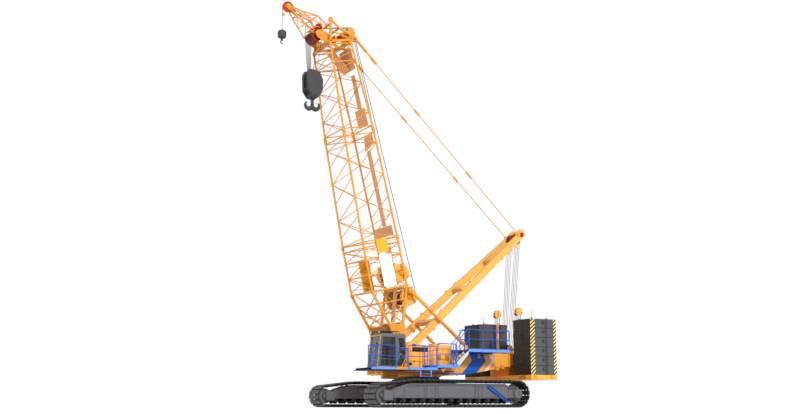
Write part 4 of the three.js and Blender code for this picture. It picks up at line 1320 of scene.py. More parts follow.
@dataclass
class Carbody:
    """The cross frame between the tracks, the slewing ring on it and the steps up to it."""

    body: str = "undercarriage"

    def build(self) -> None:
        """Builds the cross frame and what is fixed to it."""
        skinned("carbody", "cross_frame", 0.02, self.body, FRAME_GREY)
        self.covers()
        self.ring()
        self.steps()

    def covers(self) -> None:
        """Cover plates, the hydraulic blocks and hoses on the cross frame."""
        form = Form("cross_frame_covers")
        for x in (-1.15, 1.15):
            for y in (-1.95, 1.95):
                form.box(at(x - 0.26, y - 0.34, 1.12), at(x + 0.26, y + 0.34, 1.16), 0.008)
                bolt_ring(form, at(x, y, 1.16), UP, 0.2, 8, 0.012, 0.01)
            for y in (-2.55, 2.55):
                form.box(at(x - 0.2, y - 0.05, 0.7), at(x + 0.2, y + 0.05, 1.2), 0.02)
        for sign in (-1, 1):
            form.box(at(1.68, sign * 0.5 - 0.3, 0.75), at(1.78, sign * 0.5 + 0.3, 1.15), 0.02)
            form.box(at(-1.78, sign * 0.5 - 0.3, 0.75), at(-1.68, sign * 0.5 + 0.3, 1.15), 0.02)
        form.done(self.body, FRAME_GREY)
        hoses = Form("travel_hoses")
        for index in range(4):
            shift = 0.06 * index
            for sign in (-1, 1):
                run = [at(-1.0 - shift, sign * 1.0, 1.24), at(-1.0 - shift, sign * 2.4, 1.22),
                       at(-1.6 - shift, sign * 2.75, 1.15),
                       at(-2.6, sign * (2.8 - shift * 0.4), 0.98)]
                hoses.route(eased(run, 0.25), 0.019, 6)
        hoses.done(self.body, RUBBER)

    def ring(self) -> None:
        """The slewing ring with its outer teeth and bolts."""
        form = Form("slewing_bearing")
        centre = at(0, 0, 0)
        form.turned(centre, UP, [(1.3003, 1.3), (1.3003, 1.35), (1.345, 1.35), (1.35, 1.3),
                                 (1.36, 1.26), (1.46, 1.26), (1.48, 1.24), (1.48, 1.21),
                                 (1.6, 1.2), (1.6, 1.1)], 64)
        teeth = [centre + Vector((x, y, 1.37)) for x, y in toothed(84, 1.3, 1.35)]
        form.sheet(teeth, Vector((0, 0, 0.08)))
        bolt_ring(form, at(0, 0, 1.48), UP, 1.225, 48, 0.018, 0.02)
        form.done(self.body, FRAME_GREY, ["slew_ring"])

    def steps(self) -> None:
        """Blue steps and handrails at the rear of each track frame."""
        for side in Side:
            form = Form(f"{side.word}_track_ladder")
            for out, rise in ((3.79, 0.0), (3.86, 0.0), (3.79, 0.2)):
                y = side.value * out
                form.route(eased([at(-2.0, y, 1.05 + rise / 2), at(-2.12, y, 0.94 + rise),
                                  at(-3.1, y, 0.3 + rise), at(-3.24, y, 0.24)], 0.05, 2), 0.02, 8)
            for share in steps(0.04, 0.96, 8):
                x, z = mix(-2.1, -3.2, share), mix(0.98, 0.28, share)
                form.box(at(x - 0.1, side.value * 3.8 - 0.07, z - 0.014),
                         at(x + 0.1, side.value * 3.8 + 0.07, z + 0.014), 0.004)
                form.box(at(x - 0.02, side.value * 3.8 - 0.03, z),
                         at(x + 0.02, side.value * 3.8 + 0.0, z + 0.2), 0.004)
            y = side.value * 3.66
            form.route(eased([at(-2.75, y, 1.12), at(-2.8, y, 1.34), at(-3.05, y, 1.34),
                              at(-3.28, y, 1.1)], 0.07), 0.017, 8)
            form.done(self.body, BLUE)


# --------------------------------------------------------------------------------------------
# Turntable and decks
# --------------------------------------------------------------------------------------------

UPPER = "upperworks"


@dataclass
class Turntable:
    """The turning frame that carries the boom, the mast, the decks and the counterweight."""

    half: float = 1.5

    def build(self) -> None:
        """Builds the frame and the fittings on its flanks."""
        skinned("turntable_frame", "turntable", 0.014, UPPER, FLANK_PAINT)
        self.fittings()
        self.pins()
        self.hoist_winch()

    def fittings(self) -> None:
        """Ribs under the flanks, blocks at the rear and the hydraulic lines on the deck."""
        form = Form("turntable_fittings")
        for sign in (-1, 1):
            y = sign * self.half
            for x, z in ((-4.25, 1.98), (-4.6, 2.06)):
                form.box(at(x, y - 0.05, z), at(x + 0.22, y + 0.09, z + 0.2), 0.02)
            form.box(at(-3.06, y - 0.02, 2.62), at(-2.88, y + 0.07, 2.84), 0.02)
            form.box(at(-3.52, y - 0.02, 2.72), at(-3.3, y + 0.07, 2.88), 0.02)
            form.box(at(-5.0, y - 0.04, 2.16), at(-4.9, y + 0.05, 2.9), 0.012)
            for x in steps(-1.6, 1.9, 5):
                form.box(at(x - 0.02, y - 0.06, 1.66), at(x + 0.02, y + 0.05, 1.76), 0.006)
        form.done(UPPER, ORANGE)
        lines = Form("deck_lines")
        for index in range(5):
            y = -0.2 + index * 0.1
            run = [at(-4.9, y, 2.94), at(-2.6, y, 2.94), at(-2.45, y, 2.8), at(-2.2, y, 2.2)]
            lines.route(eased(run, 0.12), 0.024, 6)
        lines.done(UPPER, RUBBER)

    def pins(self) -> None:
        """The boom's and the mast's foot pins with their collars and keepers."""
        form = Form("foot_pins")
        for foot, radius in ((BOOM.foot, 0.15), (MAST.foot, 0.13)):
            for sign in (-1, 1):
                centre = foot + LEFT * sign * self.half
                form.turned(centre, LEFT * sign, [(-0.02, radius), (0.03, radius),
                                                  (0.035, radius * 0.9), (0.05, radius * 0.55),
                                                  (0.075, radius * 0.5), (0.08, radius * 0.3)], 28)
                bolt_ring(form, centre + LEFT * sign * 0.034, LEFT * sign, radius * 0.74, 6,
                          0.014, 0.014)
        form.done(UPPER, HOOK_GREY)

    def hoist_winch(self) -> None:
        """The grooved drum that hauls the mast and the boom."""
        centre = joint("boom_hoist_winch_spin")
        form = Form("mast_winch_drum")
        profile = [(-0.45, 0.12), (-0.45, 0.39), (-0.42, 0.4), (-0.385, 0.4), (-0.38, 0.33)]
        for y in steps(-0.36, 0.36, 19):
            profile += [(y - 0.01, 0.318), (y + 0.01, 0.33)]
        form.turned(centre, LEFT, profile + [(0.38, 0.33), (0.385, 0.4), (0.42, 0.4), (0.45, 0.39),
                                             (0.45, 0.12)], 36)
        for sign in (-1, 1):
            bolt_ring(form, centre + LEFT * sign * 0.45, LEFT * sign, 0.3, 10, 0.02, 0.012)
        form.done("boom_hoist_winch", SHEAVE_RED, ["boom_hoist_winch"])


@dataclass
class Railing:
    """A handrail with posts, a middle rail and foot plates."""

    run: tuple[Pair, ...]
    deck: float
    height: float
    radius: float = 0.025
    middle: bool = True

    def add(self, form: Form) -> None:
        """Adds the handrail to a piece.

        Args:
            form: The piece that gets the handrail.
        """
        top = self.deck + self.height
        feet = [at(x, y, self.deck) for x, y in self.run]
        heads = [at(x, y, top) for x, y in self.run]
        form.route(eased([feet[0], *heads, feet[-1]], 0.09), self.radius, 10)
        for foot, head in zip(feet[1:-1], heads[1:-1]):
            form.tube(foot, head - UP * 0.03, self.radius, 10)
        if self.middle:
            middles = [foot + UP * self.height * 0.52 for foot in feet]
            form.route(middles, self.radius * 0.8, 8)
        for foot in feet:
            form.box(foot + Vector((-0.05, -0.05, -0.01)), foot + Vector((0.05, 0.05, 0.014)),
                     0.004)
            form.tube(foot, foot + UP * 0.1, self.radius * 1.35, 10)


@dataclass
class Deck:
    """A walkway: channel frame, recessed tread plates and the edge that faces outwards."""

    name: str
    x: Pair
    y: Pair
    top: float
    depth: float
    rails: tuple[Railing, ...] = ()
    panels: int = 3
    stands_for: tuple[str, ...] = ()
    kick: bool = False

    def build(self) -> None:
        """Builds the deck."""
        (x0, x1), (y0, y1) = self.x, sorted(self.y)
        form = Form(f"{self.name}_frame")
        low, high = self.top - self.depth, self.top
        for y in (y0, y1 - 0.07):
            form.box(at(x0, y, low), at(x1, y + 0.07, high + (0.06 if self.kick else 0)), 0.008)
        for x in (x0, x1 - 0.07):
            form.box(at(x, y0, high - 0.035), at(x + 0.07, y1, high), 0.008)
        for x in steps(x0, x1 - 0.05, self.panels + 1)[1:-1]:
            form.box(at(x, y0, low), at(x + 0.05, y1, high - 0.01), 0.006)
        for rail in self.rails:
            rail.add(form)
        form.done(UPPER, BLUE, self.stands_for)
        form = Form(f"{self.name}_plates")
        edges = steps(x0 + 0.03, x1 - 0.03, self.panels + 1)
        for start, end in zip(edges, edges[1:]):
            form.box(at(start + 0.006, y0 + 0.03, high - 0.03),
                     at(end - 0.006, y1 - 0.03, high - 0.004), 0.004)
        form.done(UPPER, BLUE_DECK)
        if y0 > 0:
            form = Form(f"{self.name}_edge")
            form.box(at(x0 + 0.005, y1 - 0.004, low + 0.012),
                     at(x1 - 0.005, y1 + 0.012, high + 0.03), 0.004)
            # painted highlight: the outward edge takes the lightened blue
            form.done(UPPER, BLUE_PAINTED_HIGHLIGHT)


@dataclass
class Decks:
    """All the walkways round the upper works, the stair and what hangs under them."""

    edge: float = 3.37

    def build(self) -> None:
        """Builds each deck."""
        edge = self.edge
        Deck("cab_deck", (2.4, 4.52), (1.65, 3.4), 1.95, 0.1, (
            Railing(((4.49, 3.0), (4.49, edge), (4.24, edge), (3.14, edge)), 1.95, 1.1),
            Railing(((3.11, edge), (2.47, edge)), 1.95, 0.98)), 4, ("cab_platform",)).build()
        Deck("front_walk", (0.79, 2.39), (2.75, 3.4), 1.95, 0.1, (
            Railing(((2.44, edge), (1.5, edge), (1.3, edge)), 1.95, 1.12),), 3).build()
        Deck("housing_floor", (0.79, 2.39), (1.51, 2.74), 1.95, 0.1, (), 2).build()
        Deck("middle_walk", (-0.56, 0.77), (1.51, 3.4), 2.11, 0.13, (
            Railing(((0.7, edge), (-0.22, edge), (-0.42, edge)), 2.11, 1.1),), 3,
             ("left_walkway",)).build()
        Deck("rear_left_deck", (-3.82, -1.17), (1.51, 3.3), 2.96, 0.13, (
            Railing(((-1.2, 2.45), (-1.2, 3.27), (-2.1, 3.27), (-2.95, 3.27), (-3.78, 3.27),
                     (-3.78, 1.7)), 2.96, 1.04),), 4, ("rear_left_platform",), True).build()
        Deck("right_deck", (-3.7, 1.0), (-3.4, -1.51), 1.95, 0.1, (
            Railing(tuple((x, -edge) for x in steps(0.9, -3.6, 5)), 1.95, 0.95),), 6,
             ("right_platform",)).build()
        self.gate()
        self.stair()
        self.beams()

    def gate(self) -> None:
        """The gate in the walkway's edge, with its frame of bars."""
        form = Form("walkway_gate")
        y = self.edge
        form.route(eased([at(0.78, y, 1.97), at(0.78, y, 3.07), at(1.17, y, 3.07),
                          at(1.17, y, 1.97)], 0.06), 0.024, 10)
        for z in (2.3, 2.62, 2.86):
            form.tube(at(0.78, y, z), at(1.17, y, z), 0.014, 8)
        form.box(at(0.76, y - 0.02, 1.98), at(1.19, y + 0.012, 2.12), 0.01)
        form.done(UPPER, BLUE)
        plate = Form("gate_kick_plate")
        plate.box(at(0.74, y - 0.03, 1.87), at(1.4, y + 0.045, 2.0), 0.008)
        # painted highlight: the kick plate takes the lightened blue
        plate.done(UPPER, BLUE_PAINTED_HIGHLIGHT)

    def stair(self) -> None:
        """The steps from the middle walkway to the rear deck, with a handrail."""
        form = Form("rear_stair")
        for y in (2.9, 3.34):
            form.plate([(-0.27, 2.02), (-0.27, 2.14), (-1.1, 2.86), (-1.155, 2.86), (-1.155, 2.72),
                        (-0.5, 2.02)], y, y + 0.03, bevel=0.006)
        for index in range(1, 5):
            x, z = -0.24 - index * 0.175, 2.1 + index * 0.163
            form.box(at(x - 0.14, 2.93, z - 0.035), at(x + 0.02, 3.34, z), 0.006)
        form.done(UPPER, STEP_GREY)
        rail = Form("stair_rail")
        for y in (2.93, 3.36):
            rail.route(eased([at(-0.36, y, 2.1), at(-0.36, y, 3.2), at(-1.1, y, 3.98),
                              at(-1.19, y, 3.98), at(-1.19, y, 2.96)], 0.1), 0.021, 10)
            rail.tube(at(-0.36, y, 2.68), at(-1.19, y, 3.46), 0.017, 8)
        rail.done(UPPER, BLUE)

    def beams(self) -> None:
        """The box beams that carry the cab deck and the dropped steps below the walkway."""
        form = Form("deck_beams")
        form.box(at(1.7, 1.72, 1.73), at(3.1, 1.9, 1.85), 0.012)
        form.box(at(1.72, 1.5, 1.73), at(2.1, 1.8, 1.85), 0.012)
        form.box(at(2.1, 1.5, 1.44), at(3.0, 1.74, 1.78), 0.02)
        for x in (2.3, 2.55, 2.8):
            form.turned(at(x, 1.74, 1.66), LEFT, [(-0.01, 0.05), (0.012, 0.05), (0.014, 0.03)], 14)
        form.box(at(2.5, 3.4, 1.87), at(3.12, 3.425, 1.99), 0.008)
        for x in (-0.4, 0.3, 1.0, 1.8):
            form.box(at(x, 1.52, 1.78), at(x + 0.09, 3.3, 1.86), 0.008)
        form.done(UPPER, ORANGE)
        skirt = Form("cab_deck_skirt")
        skirt.box(at(2.66, 1.72, 1.815), at(4.7, 3.4, 1.845), 0.006)
        skirt.done(UPPER, DARK)
        steps_form = Form("hanging_steps")
        for x in (1.12, 1.74):
            steps_form.beam(at(x, 3.37, 1.86), at(x - 0.02, 3.37, 1.52), 0.03, 0.06, 0.006)
        for z in (1.55, 1.7):
            steps_form.box(at(1.1, 3.28, z - 0.02), at(1.76, 3.39, z), 0.005)
        # painted highlight: the hanging steps take the lightened blue
        steps_form.done(UPPER, BLUE_PAINTED_HIGHLIGHT)


# --------------------------------------------------------------------------------------------
# Housings and counterweight
# --------------------------------------------------------------------------------------------


@dataclass
class Housings:
    """The sheet-metal housings with their doors, hinges, handles and vents."""

    outer: float = 2.74

    def build(self) -> None:
        """Builds the housings and their fittings."""
        for node, name, width in (("left_front_housing", "front_housing", 0.02),
                                  ("left_rear_housing", "rear_housing", 0.05),
                                  ("engine_housing", "engine_cover", 0.03)):
            skinned(node, name, width, UPPER, HOUSING_PAINT, 3)
        self.door()
        self.front_details()
        self.rear_details()
        self.engine()

    def door(self) -> None:
        """The front housing's door: a pressed panel with a frame, hinges and a handle."""
        low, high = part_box("left_housing_door")
        form = Form("housing_door")
        form.box(low, high, 0.008)
        inset = Vector((0.07, 0, 0.07))
        form.box(low + inset + Vector((0, 0.02, 0)), high - inset + Vector((0, 0.004, 0)), 0.004)
        for z in (low.z + 0.12, high.z - 0.12):
            form.tube(Vector((low.x + 0.013, low.y + 0.013, z - 0.05)),
                      Vector((low.x + 0.013, low.y + 0.013, z + 0.05)), 0.018, 12)
        form.done("left_housing_door", HOUSING_PAINT, ["left_housing_door"])
        handle = Form("housing_door_handle")
        spot = Vector((high.x - 0.11, high.y, (low.z + high.z) / 2 - 0.06))
        handle.turned(spot, LEFT, [(0, 0.035), (0.012, 0.035), (0.018, 0.02), (0.02, 0.01)], 16)
        handle.box(spot + Vector((-0.012, 0.012, -0.09)), spot + Vector((0.012, 0.03, 0.02)), 0.006)
        handle.done("left_housing_door", DARK)

    def front_details(self) -> None:
        """The front housing's orange front, dark vent band, lamp box and lifting eyes."""
        y = self.outer
        front = Form("front_housing_panel")
        front.box(at(2.18, 1.56, 1.99), at(2.2, y - 0.06, 3.0), 0.008)
        front.box(at(1.92, y, 1.99), at(2.14, y + 0.012, 3.02), 0.006)
        front.box(at(2.19, 2.0, 1.96), at(2.28, 2.7, 2.9), 0.02)
        front.done(UPPER, BOOM_PAINT)
        middle = Form("middle_housing")
        middle.box(at(0.1, 1.56, 2.115), at(1.19, 2.735, 3.06), 0.02, 2)
        middle.box(at(0.66, 2.69, 2.2), at(1.14, 2.71, 2.74), 0.006)
        middle.done(UPPER, HOUSING_PAINT)
        dark = Form("front_housing_vents")
        for z in steps(2.83, 3.0, 5):
            dark.box(at(1.24, y, z - 0.013), at(1.86, y + 0.022, z + 0.013), 0.004)
        dark.box(at(0.9, y - 0.004, 2.8), at(1.84, y + 0.006, 3.03), 0.004)
        dark.plate([(0.62, 2.79), (1.2, 2.79), (1.2, 3.04), (0.52, 3.04)], 2.7, 2.716)
        dark.box(at(1.9, y, 2.12), at(2.12, y + 0.07, 2.24), 0.012)
        dark.done(UPPER, DARK)
        eyes = Form("front_housing_eyes")
        for x in (1.32, 2.05):
            for side_y in (1.62, 2.62):
                ring = [at(x + 0.045 * math.cos(a), side_y, 3.075 + 0.045 * math.sin(a))
                        for a in steps(0, math.pi, 9)]
                eyes.route(ring, 0.011, 8)
        eyes.box(at(1.47, 2.55, 3.06), at(1.53, 2.62, 3.2), 0.01)
        eyes.tube(at(1.5, 2.58, 3.2), at(1.5, 2.58, 3.24), 0.05, 14)
        eyes.done(UPPER, HOUSING_PAINT)

    def rear_details(self) -> None:
        """Ribs, a hatch, catches and the boxes on top of the rear housing."""
        y = self.outer
        form = Form("rear_housing_trim")
        form.box(at(-0.4, y - 0.002, 2.3), at(0.02, y + 0.014, 2.98), 0.008)
        form.box(at(0.08, y - 0.002, 2.3), at(0.5, y + 0.014, 2.98), 0.008)
        for x in (-0.2, 0.28):
            form.box(at(x - 0.08, y + 0.008, 2.74), at(x + 0.08, y + 0.024, 2.9), 0.006)
        form.box(at(-0.1, 1.8, 3.17), at(0.35, 2.3, 3.27), 0.025)
        form.tube(at(0.1, 2.5, 3.17), at(0.1, 2.5, 3.3), 0.06, 16)
        form.done(UPPER, HOUSING_PAINT)
        dark = Form("rear_housing_vents")
        for x in (-0.2, 0.28):
            for z in steps(2.4, 2.64, 6):
                dark.box(at(x - 0.12, y + 0.006, z - 0.012), at(x + 0.12, y + 0.022, z + 0.012),
                         0.004)
        dark.turned(at(0.2, 2.05, 3.27), UP, [(0, 0.05), (0.04, 0.05), (0.06, 0.03), (0.1, 0.02)],
                    16)
        dark.done(UPPER, DARK)

    def engine(self) -> None:
        """The engine block's cover, the right-hand vents, doors and the exhaust."""
        skinned("engine_block", "engine", 0.04, UPPER, FRAME_GREY)
        y = -2.95
        trim = Form("engine_cover_doors")
        edges = steps(-3.52, 0.82, 6)
        for start, end in zip(edges, edges[1:]):
            trim.box(at(start + 0.015, y - 0.014, 2.02), at(end - 0.015, y + 0.004, 2.9), 0.006)
        trim.box(at(-3.3, -2.7, 2.97), at(-2.4, -1.8, 3.03), 0.02)
        trim.done(UPPER, HOUSING_PAINT)
        dark = Form("engine_cover_vents")
        for start, end in list(zip(edges, edges[1:]))[:3]:
            for z in steps(2.2, 2.78, 9):
                dark.beam(at(start + 0.1, y - 0.02, z), at(end - 0.1, y - 0.02, z), 0.02, 0.03,
                          0.004)
        for start, end in list(zip(edges, edges[1:]))[3:]:
            dark.box(at((start + end) / 2 - 0.07, y - 0.035, 2.42),
                     at((start + end) / 2 + 0.07, y - 0.012, 2.47), 0.006)
        dark.route(eased([at(-3.0, -2.2, 2.98), at(-3.0, -2.2, 3.2), at(-3.18, -2.2, 3.3)], 0.08),
                   0.07, 16)
        for index in range(6):
            x = -3.15 + index * 0.13
            dark.box(at(x, -2.6, 3.02), at(x + 0.06, -1.9, 3.045), 0.006)
        dark.done(UPPER, DARK)


@dataclass
class Counterweight:
    """The tray, the two stacks of slabs, their lifting eyes and the lifts beside them."""

    front: float = -5.13
    rear: float = -6.85
    inner: float = 1.36
    outer: float = 3.3
    base: float = 1.7203
    slab: float = 0.501
    count: int = 6

    def build(self) -> None:
        """Builds everything at the crane's tail."""
        skinned("counterweight_tray", "weight_tray", 0.016, UPPER, HOUSING_PAINT)
        for side in Side:
            self.stack(side)
            self.lift(side)
        self.tray_details()

    def stack(self, side: Side) -> None:
        """Six slabs, each with a notch, a lug on its side and a gap above it.

        Args:
            side: Which side of the crane.
        """
        sign = side.value
        outline = [(self.front, self.inner + 0.33), (self.front, self.outer),
                   (-6.07, self.outer), (-6.09, self.outer - 0.05), (-6.25, self.outer - 0.05),
                   (-6.27, self.outer), (self.rear, self.outer), (self.rear, self.inner),
                   (self.front - 0.33, self.inner)]
        form = Form(f"{side.word}_slabs")
        for index in range(self.count):
            z = self.base + index * self.slab
            form.sheet([at(x, sign * y, z + 0.004) for x, y in outline], UP * (self.slab - 0.012),
                       0.014)
        form.done(UPPER, WEIGHT_GREY, [f"{side.word}_counterweight"])
        lugs = Form(f"{side.word}_slab_lugs")
        for index in range(self.count):
            z = self.base + (index + 0.62) * self.slab
            lugs.turned(at(-5.98, sign * (self.outer - 0.01), z), LEFT * sign,
                        [(0, 0.08), (0.03, 0.08), (0.035, 0.055), (0.06, 0.055), (0.062, 0.08),
                         (0.085, 0.078), (0.09, 0.05)], 18)
            y = sorted((sign * (self.outer - 0.06), sign * (self.outer - 0.03)))
            lugs.box(at(-6.25, y[0], z - 0.3), at(-6.09, y[1], z + 0.16), 0.004)
            lugs.box(at(self.front - 0.01, sign * 2.4 - 0.07, z - 0.14),
                     at(self.front + 0.05, sign * 2.4 + 0.07, z - 0.06), 0.015)
        top = self.base + self.count * self.slab
        for x in (-5.5, -6.5):
            for y in (1.75, 2.9):
                ring = [at(x + 0.07 * math.cos(a), sign * y, top - 0.01 + 0.09 * math.sin(a))
                        for a in steps(0, math.pi, 9)]
                lugs.route(ring, 0.02, 8)
        lugs.done(UPPER, HOOK_GREY)
        post = Form(f"{side.word}_tail_post")
        x, y = (-5.36, 3.15) if sign > 0 else (-5.83, -2.3)
        post.turned(at(x, y, top - 0.012), UP,
                    [(0, 0.05), (0.02, 0.05), (0.022, 0.024), (0.045, 0.022),
                    (0.05, 0.011), (0.5, 0.009), (0.52, 0.007)], 12)
        post.done(UPPER, FRAME_GREY)

    def lift(self, side: Side) -> None:
        """A cylinder that raises the weights, its head and the chains from it.

        Args:
            side: Which side of the crane.
        """
        x, y = -5.95, side.value * 1.05
        form = Form(f"{side.word}_lift_post")
        form.turned(at(x, y, 0), UP, [(2.9003, 0.16), (2.94, 0.16), (2.945, 0.12), (3.05, 0.12),
                                      (3.06, 0.085), (4.58, 0.085), (4.59, 0.1), (4.65, 0.1),
                                      (4.66, 0.06)], 24)
        form.box(at(x - 0.2, y - 0.17, 2.9003), at(x + 0.2, y + 0.17, 2.93), 0.01)
        for reach in (-1, 1):
            rim = [(0.2, 0.32), (0.13, 0.42), (0.05, 0.45), (-0.05, 0.45), (-0.13, 0.42),
                   (-0.2, 0.32), (-0.21, 0.1), (-0.12, 0.0), (-0.06, 0.06), (0.06, 0.06),
                   (0.12, 0.0), (0.21, 0.1)]
            form.sheet([at(x + dx, y + reach * 0.09, 5.05 + dz) for dx, dz in rim],
                       LEFT * reach * 0.02)
        form.box(at(x - 0.14, y - 0.1, 5.33), at(x + 0.14, y + 0.1, 5.39), 0.012)
        for spread in (-0.15, 0.15):
            form.turned(at(x + spread, y - 0.12, 5.22), LEFT, [(0, 0.06), (0.24, 0.06)], 14)
        form.done(UPPER, MAST_PAINT, [f"{side.word}_weight_lift"])
        rod = Form(f"{side.word}_lift_rod")
        rod.turned(at(x, y, 0), UP, [(4.6, 0.052), (5.05, 0.052), (5.06, 0.075), (5.16, 0.075),
                                     (5.17, 0.04)], 24)
        for spread in (-0.15, 0.15):
            rod.tube(at(x + spread, y - 0.12, 5.24), at(x + spread, y + 0.12, 5.24), 0.028, 12)
        rod.done(UPPER, CHROME)
        chains = Form("link")
        ring = [Vector((0.022 * math.cos(a), 0, 0.034 * math.sin(a)))
                for a in steps(0, 2 * math.pi, 9)]
        chains.route(ring, 0.008, 5)
        places = []
        for spread in (-0.15, 0.15):
            count = 42
            for index in range(count):
                turn = Matrix.Rotation(math.pi / 2 * (index % 2), 4, "Z")
                places.append(moved(SLEW_X + x + spread, y, 5.19 - index * 0.052) @ turn)
        settle(copies(f"{side.word}_lift_chains", chains.solid(), places), UPPER,
               HOOK_GREY)

    def tray_details(self) -> None:
        """Corner blocks, the tie plates and the tail lamps on the tray."""
        form = Form("tray_blocks")
        for sign in (-1, 1):
            form.box(at(self.front, sign * 2.6 - 0.3, 1.5),
                     at(self.front + 0.05, sign * 2.6 + 0.3, 1.7), 0.015)
            for x in (-5.4, -6.5):
                form.box(at(x - 0.12, sign * self.outer - 0.02, 1.52),
                         at(x + 0.12, sign * self.outer + 0.02, 1.68), 0.01)
            form.box(at(-6.86, sign * 1.8 - 0.2, 1.52), at(-6.84, sign * 1.8 + 0.2, 1.66), 0.006)
            form.box(at(-6.28, sign * 0.9 - 0.03, 1.74), at(-5.32, sign * 0.9 + 0.05, 2.28), 0.02)
        form.done(UPPER, ORANGE)
        lamps = Form("tail_lamps")
        for sign in (-1, 1):
            lamps.turned(at(-6.845, sign * 2.7, 1.6), Vector((-1, 0, 0)),
                         [(-0.01, 0.05), (0.0, 0.05), (0.005, 0.042), (0.014, 0.02)], 20)
        lamps.done(UPPER, SHEAVE_RED)


# --------------------------------------------------------------------------------------------
# Boom
# --------------------------------------------------------------------------------------------


@dataclass
class Lattice:
    """The boom's four chords and the bars between them."""

    chord: float = 0.054
    brace: float = 0.0225
    stations: tuple[Triple, ...] = ((3.75, 1.055, 1.2), (6.25, 1.055, 1.2), (12.3, 0.89, 1.16),
                                    (17.25, 0.62, 1.05))
    corners: tuple[tuple[str, int, int], ...] = (("FL", 1, 1), ("FR", 1, -1), ("BL", -1, 1),
                                                 ("BR", -1, -1))

    def spot(self, corner: str, along: float) -> Vector:
        """A point on a chord, such as FL for the front left one.

        Args:
            corner: Which chord, such as FL for the front left.
            along: How far up the boom.

        Returns:
            The point on the chord's middle line.
        """
        front, side = (1 if corner[0] == "F" else -1), (1 if corner[1] == "L" else -1)
        for low, high in zip(self.stations, self.stations[1:]):
            if along <= high[0]:
                break
        share = (along - low[0]) / (high[0] - low[0])
        return BOOM.at(front * mix(low[1], high[1], share), side * mix(low[2], high[2], share),
                       along)

    def run(self, form: Form, lines: Sequence[str], radius: float = 0.0) -> None:
        """Adds bars between stops such as "FL6.9 BL7.74", cut back to the chords' skins.

        Args:
            form: The piece that gets the bars.
            lines: The chord and height of each stop, in order, one text for each line of bars.
            radius: The bars' radius.
        """
        for stops in lines:
            spots = [self.spot(stop[:2], float(stop[2:])) for stop in stops.split()]
            for start, end in zip(spots, spots[1:]):
                back = (end - start).normalized() * self.chord * 0.5
                form.tube(start + back, end - back, radius or self.brace, 7)

    def hoop(self, form: Form, along: float, radius: float = 0.034) -> None:
        """Adds four bars square across the boom."""
        stops = " ".join(f"{corner}{along}" for corner in ("FL", "BL", "BR", "FR", "FL"))
        self.run(form, [stops], radius)

    def chords(self, form: Form, low: float, high: float) -> None:
        """Adds the four chords of one section with a forked lug at each end.

        Args:
            form: The piece that gets the chords.
            low: Where they start.
            high: Where they end.
        """
        for corner, _, _ in self.corners:
            start, end = self.spot(corner, low), self.spot(corner, high)
            way = (end - start).normalized()
            form.tube(start, end, self.chord, 14)
            for spot, inward in ((start, way), (end, -way)):
                form.turned(spot, inward, [(0.1, self.chord * 1.02), (0.12, self.chord * 1.3),
                                           (0.2, self.chord * 1.3), (0.24, self.chord * 1.02)], 14)
                for offset in (-0.032, 0.032):
                    form.beam(spot + LEFT * offset - inward * 0.01,
                              spot + LEFT * offset + inward * 0.14, 0.022, 0.15, 0.006)
                form.tube(spot + inward * 0.02 - LEFT * 0.07, spot + inward * 0.02 + LEFT * 0.07,
                          0.034, 10)


